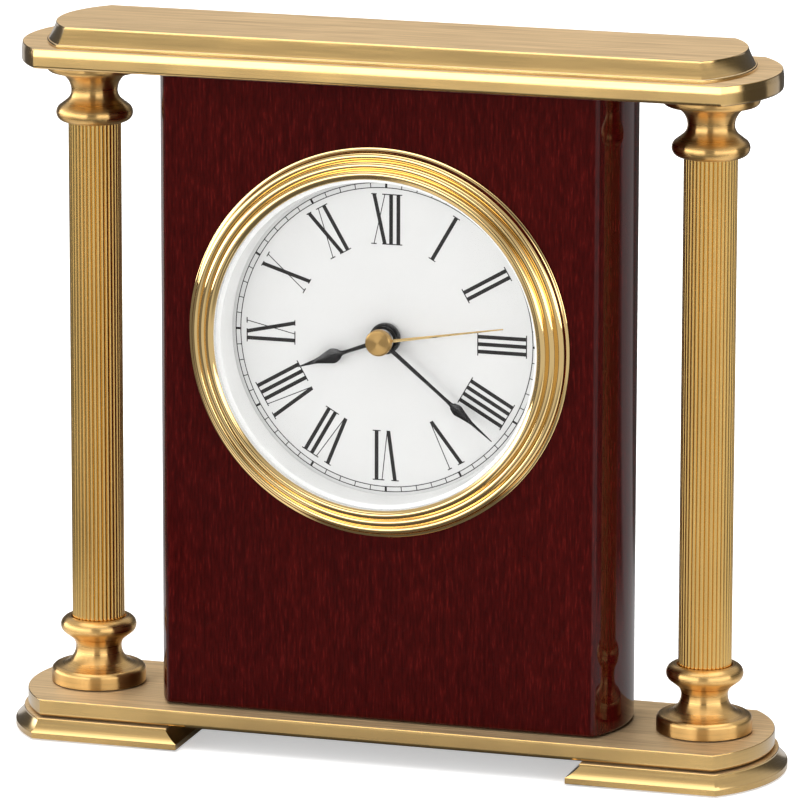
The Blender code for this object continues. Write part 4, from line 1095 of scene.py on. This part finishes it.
# Softboxes: first and last azimuth, the sines of elevation where they are full and end, radiance.
BOXES = ((-113, -4, 0.20, 0.44, 4.2), (25, 97, 0.20, 0.44, 3.2))
BOX_EDGE = 4
AMBIENT = 0.10
ZENITH = (0.78, 0.90, 0.0, 1.9)  # the sines of elevation between which the radiance rises, from and to


def build_camera():
    direction = Vector((math.sin(AZIMUTH) * math.cos(ELEVATION), -math.cos(AZIMUTH) * math.cos(ELEVATION),
                        math.sin(ELEVATION)))
    place = TARGET + direction * DISTANCE
    across = (-direction).cross(Vector((0, 0, 1))).normalized()
    up = across.cross(-direction)
    rolled_across = across * math.cos(ROLL) + up * math.sin(ROLL)
    rolled_up = up * math.cos(ROLL) - across * math.sin(ROLL)
    aim = TARGET + rolled_across * FRAMING[0] + rolled_up * FRAMING[1]
    back = (place - aim).normalized()
    right = rolled_up.cross(back).normalized()
    data = bpy.data.cameras.new("camera")
    data.sensor_width = SENSOR
    data.lens = SENSOR * FOCAL
    data.clip_end = 20
    camera = bpy.data.objects.new("camera", data)
    bpy.context.scene.collection.objects.link(camera)
    turn = Matrix((right, back.cross(right), back)).transposed().to_4x4()
    camera.matrix_world = Matrix.Translation(place * MM) @ turn
    bpy.context.scene.camera = camera


def sector(nodes, azimuth, share, start, end):
    """A share between two azimuths in degrees, and nothing outside them, with soft edges."""
    start, end, edge = (math.radians(angle) for angle in (start, end, SECTOR_EDGE))
    return nodes.math("MULTIPLY", nodes.rise(azimuth, start, start + edge),
                      nodes.rise(azimuth, end - edge, end, share, 0.0))


def azimuth_of(nodes, x, y):
    """The azimuth to the right of the front, in radians."""
    return nodes.math("ARCTAN2", x, nodes.math("MULTIPLY", y, -1.0))


def floor_darkness(look, x, y):
    """How dark mirrors see the floor by its place: behind the clock, and between the boxes in front."""
    azimuth = azimuth_of(look, x, y)
    turned_away = look.math("ABSOLUTE", azimuth)
    back_start, back_full = (math.radians(angle) for angle in BEHIND_AZIMUTH)
    behind = look.math("SUBTRACT", look.rise(turned_away, back_start, back_full),
                       sector(look, turned_away, *BEHIND_STRIP))
    gap = sector(look, azimuth, *GAP_SECTOR)
    reach = look.math("SQRT", look.math("ADD", look.math("MULTIPLY", x, x), look.math("MULTIPLY", y, y)))
    return look.math("MULTIPLY", look.math("MAXIMUM", behind, gap), look.rise(reach, *DARK_REACH))


def floor_look():
    """White to the eye. Mirrors see it bright at a slant and beside the clock, darker below and behind."""
    look = Look("floor", 0.6, Specular_IOR_Level=0.0)
    spot = look.place((1, 1, 1))
    x, y = look.along(spot, "X"), look.along(spot, "Y")
    close = look.math("MULTIPLY", look.rise(look.math("ABSOLUTE", y), *CLOSE_DEPTH, 1.0, 0.0),
                      look.rise(look.math("ABSOLUTE", x), *CLOSE_WIDTH))
    slant = look.rise(look.add("ShaderNodeFresnel", [("IOR", 1.5)]).outputs[0], 0.05, 0.26, STEEP_TONE, 1.0)
    bright = look.mix(look.math("MAXIMUM", close, slant), (0, 0, 0), (MIRRORED_TONE,) * 3)
    mirrored = look.mix(floor_darkness(look, x, y), bright, DARK_TONE)
    mottle = look.ramp(look.noise(look.place((3, 3, 3))), (0.3, (0.86,) * 3), (0.7, (0.88,) * 3))
    path = look.add("ShaderNodeLightPath").outputs
    look.link(look.mix(path["Is Glossy Ray"], mottle, mirrored), "Base Color")
    look.set("Emission Color", (1, 1, 1, 1))
    below = look.math("MULTIPLY", look.math("MULTIPLY", close, look.math("SUBTRACT", 1.0, slant)),
                      look.math("MULTIPLY", path["Is Glossy Ray"], CLOSE_GLOW))
    look.link(look.math("ADD", look.math("MULTIPLY", path["Is Camera Ray"], FLOOR_GLOW), below),
              "Emission Strength")
    return look.material


def build_floor():
    shape = bmesh.new()
    bmesh.ops.create_grid(shape, x_segments=1, y_segments=1, size=FLOOR_SIZE)
    floor = to_object("floor", shape)
    floor.data.materials.append(floor_look())


def softbox(sky, azimuth, z, start, end, low, high, radiance):
    """A box between two azimuths in degrees, fading out upwards."""
    across = sky.math("MULTIPLY", sky.rise(azimuth, start - BOX_EDGE, start + BOX_EDGE),
                      sky.rise(azimuth, end - BOX_EDGE, end + BOX_EDGE, 1.0, 0.0))
    return sky.math("MULTIPLY", across, sky.rise(z, low, high, radiance, 0.0))


def build_light():
    """Two broad softboxes in front with a gap between them, and a ceiling that is brightest overhead."""
    world = bpy.data.worlds.new("studio")
    bpy.context.scene.world = world
    world.use_nodes = True
    sky = Nodes(world.node_tree)
    direction = sky.add("ShaderNodeSeparateXYZ", [(0, sky.add("ShaderNodeTexCoord").outputs["Generated"])])
    x, y, z = (direction.outputs[axis] for axis in "XYZ")
    azimuth = sky.math("MULTIPLY", azimuth_of(sky, x, y), 180 / math.pi)
    total = sky.math("ADD", *(softbox(sky, azimuth, z, *box) for box in BOXES))
    ceiling = sky.math("MULTIPLY", sky.rise(z, 0.28, 0.48), sky.rise(y, -0.35, 0.35, 0.5, 0.55))
    for part in (ceiling, AMBIENT, sky.rise(z, *ZENITH)):
        total = sky.math("ADD", total, part)
    path = sky.add("ShaderNodeLightPath").outputs
    gain = sky.math("ADD", 1.0, sky.math("MULTIPLY", path["Is Diffuse Ray"], DIFFUSE_GAIN))
    total = sky.math("MULTIPLY", gain, total)
    background = world.node_tree.nodes["Background"]
    background.inputs["Color"].default_value = (1, 1, 1, 1)
    strength = sky.add("ShaderNodeMix", ((0, path["Is Camera Ray"]), (2, total), (3, 1.0)),
                       data_type="FLOAT")
    world.node_tree.links.new(strength.outputs[0], background.inputs["Strength"])
    settings = bpy.context.scene.view_settings
    settings.view_transform = "Standard"
    settings.look = "None"


build_camera()
build_plates()
build_cap()
build_feet()
build_block()
build_columns()
build_bezel()
build_lens()
build_white_ring()
build_dial()
build_dial_print()
build_hour_hand()
build_minute_hand()
build_second_hand()
build_dial_nut()
dress_cad_nodes()
build_floor()
build_light()
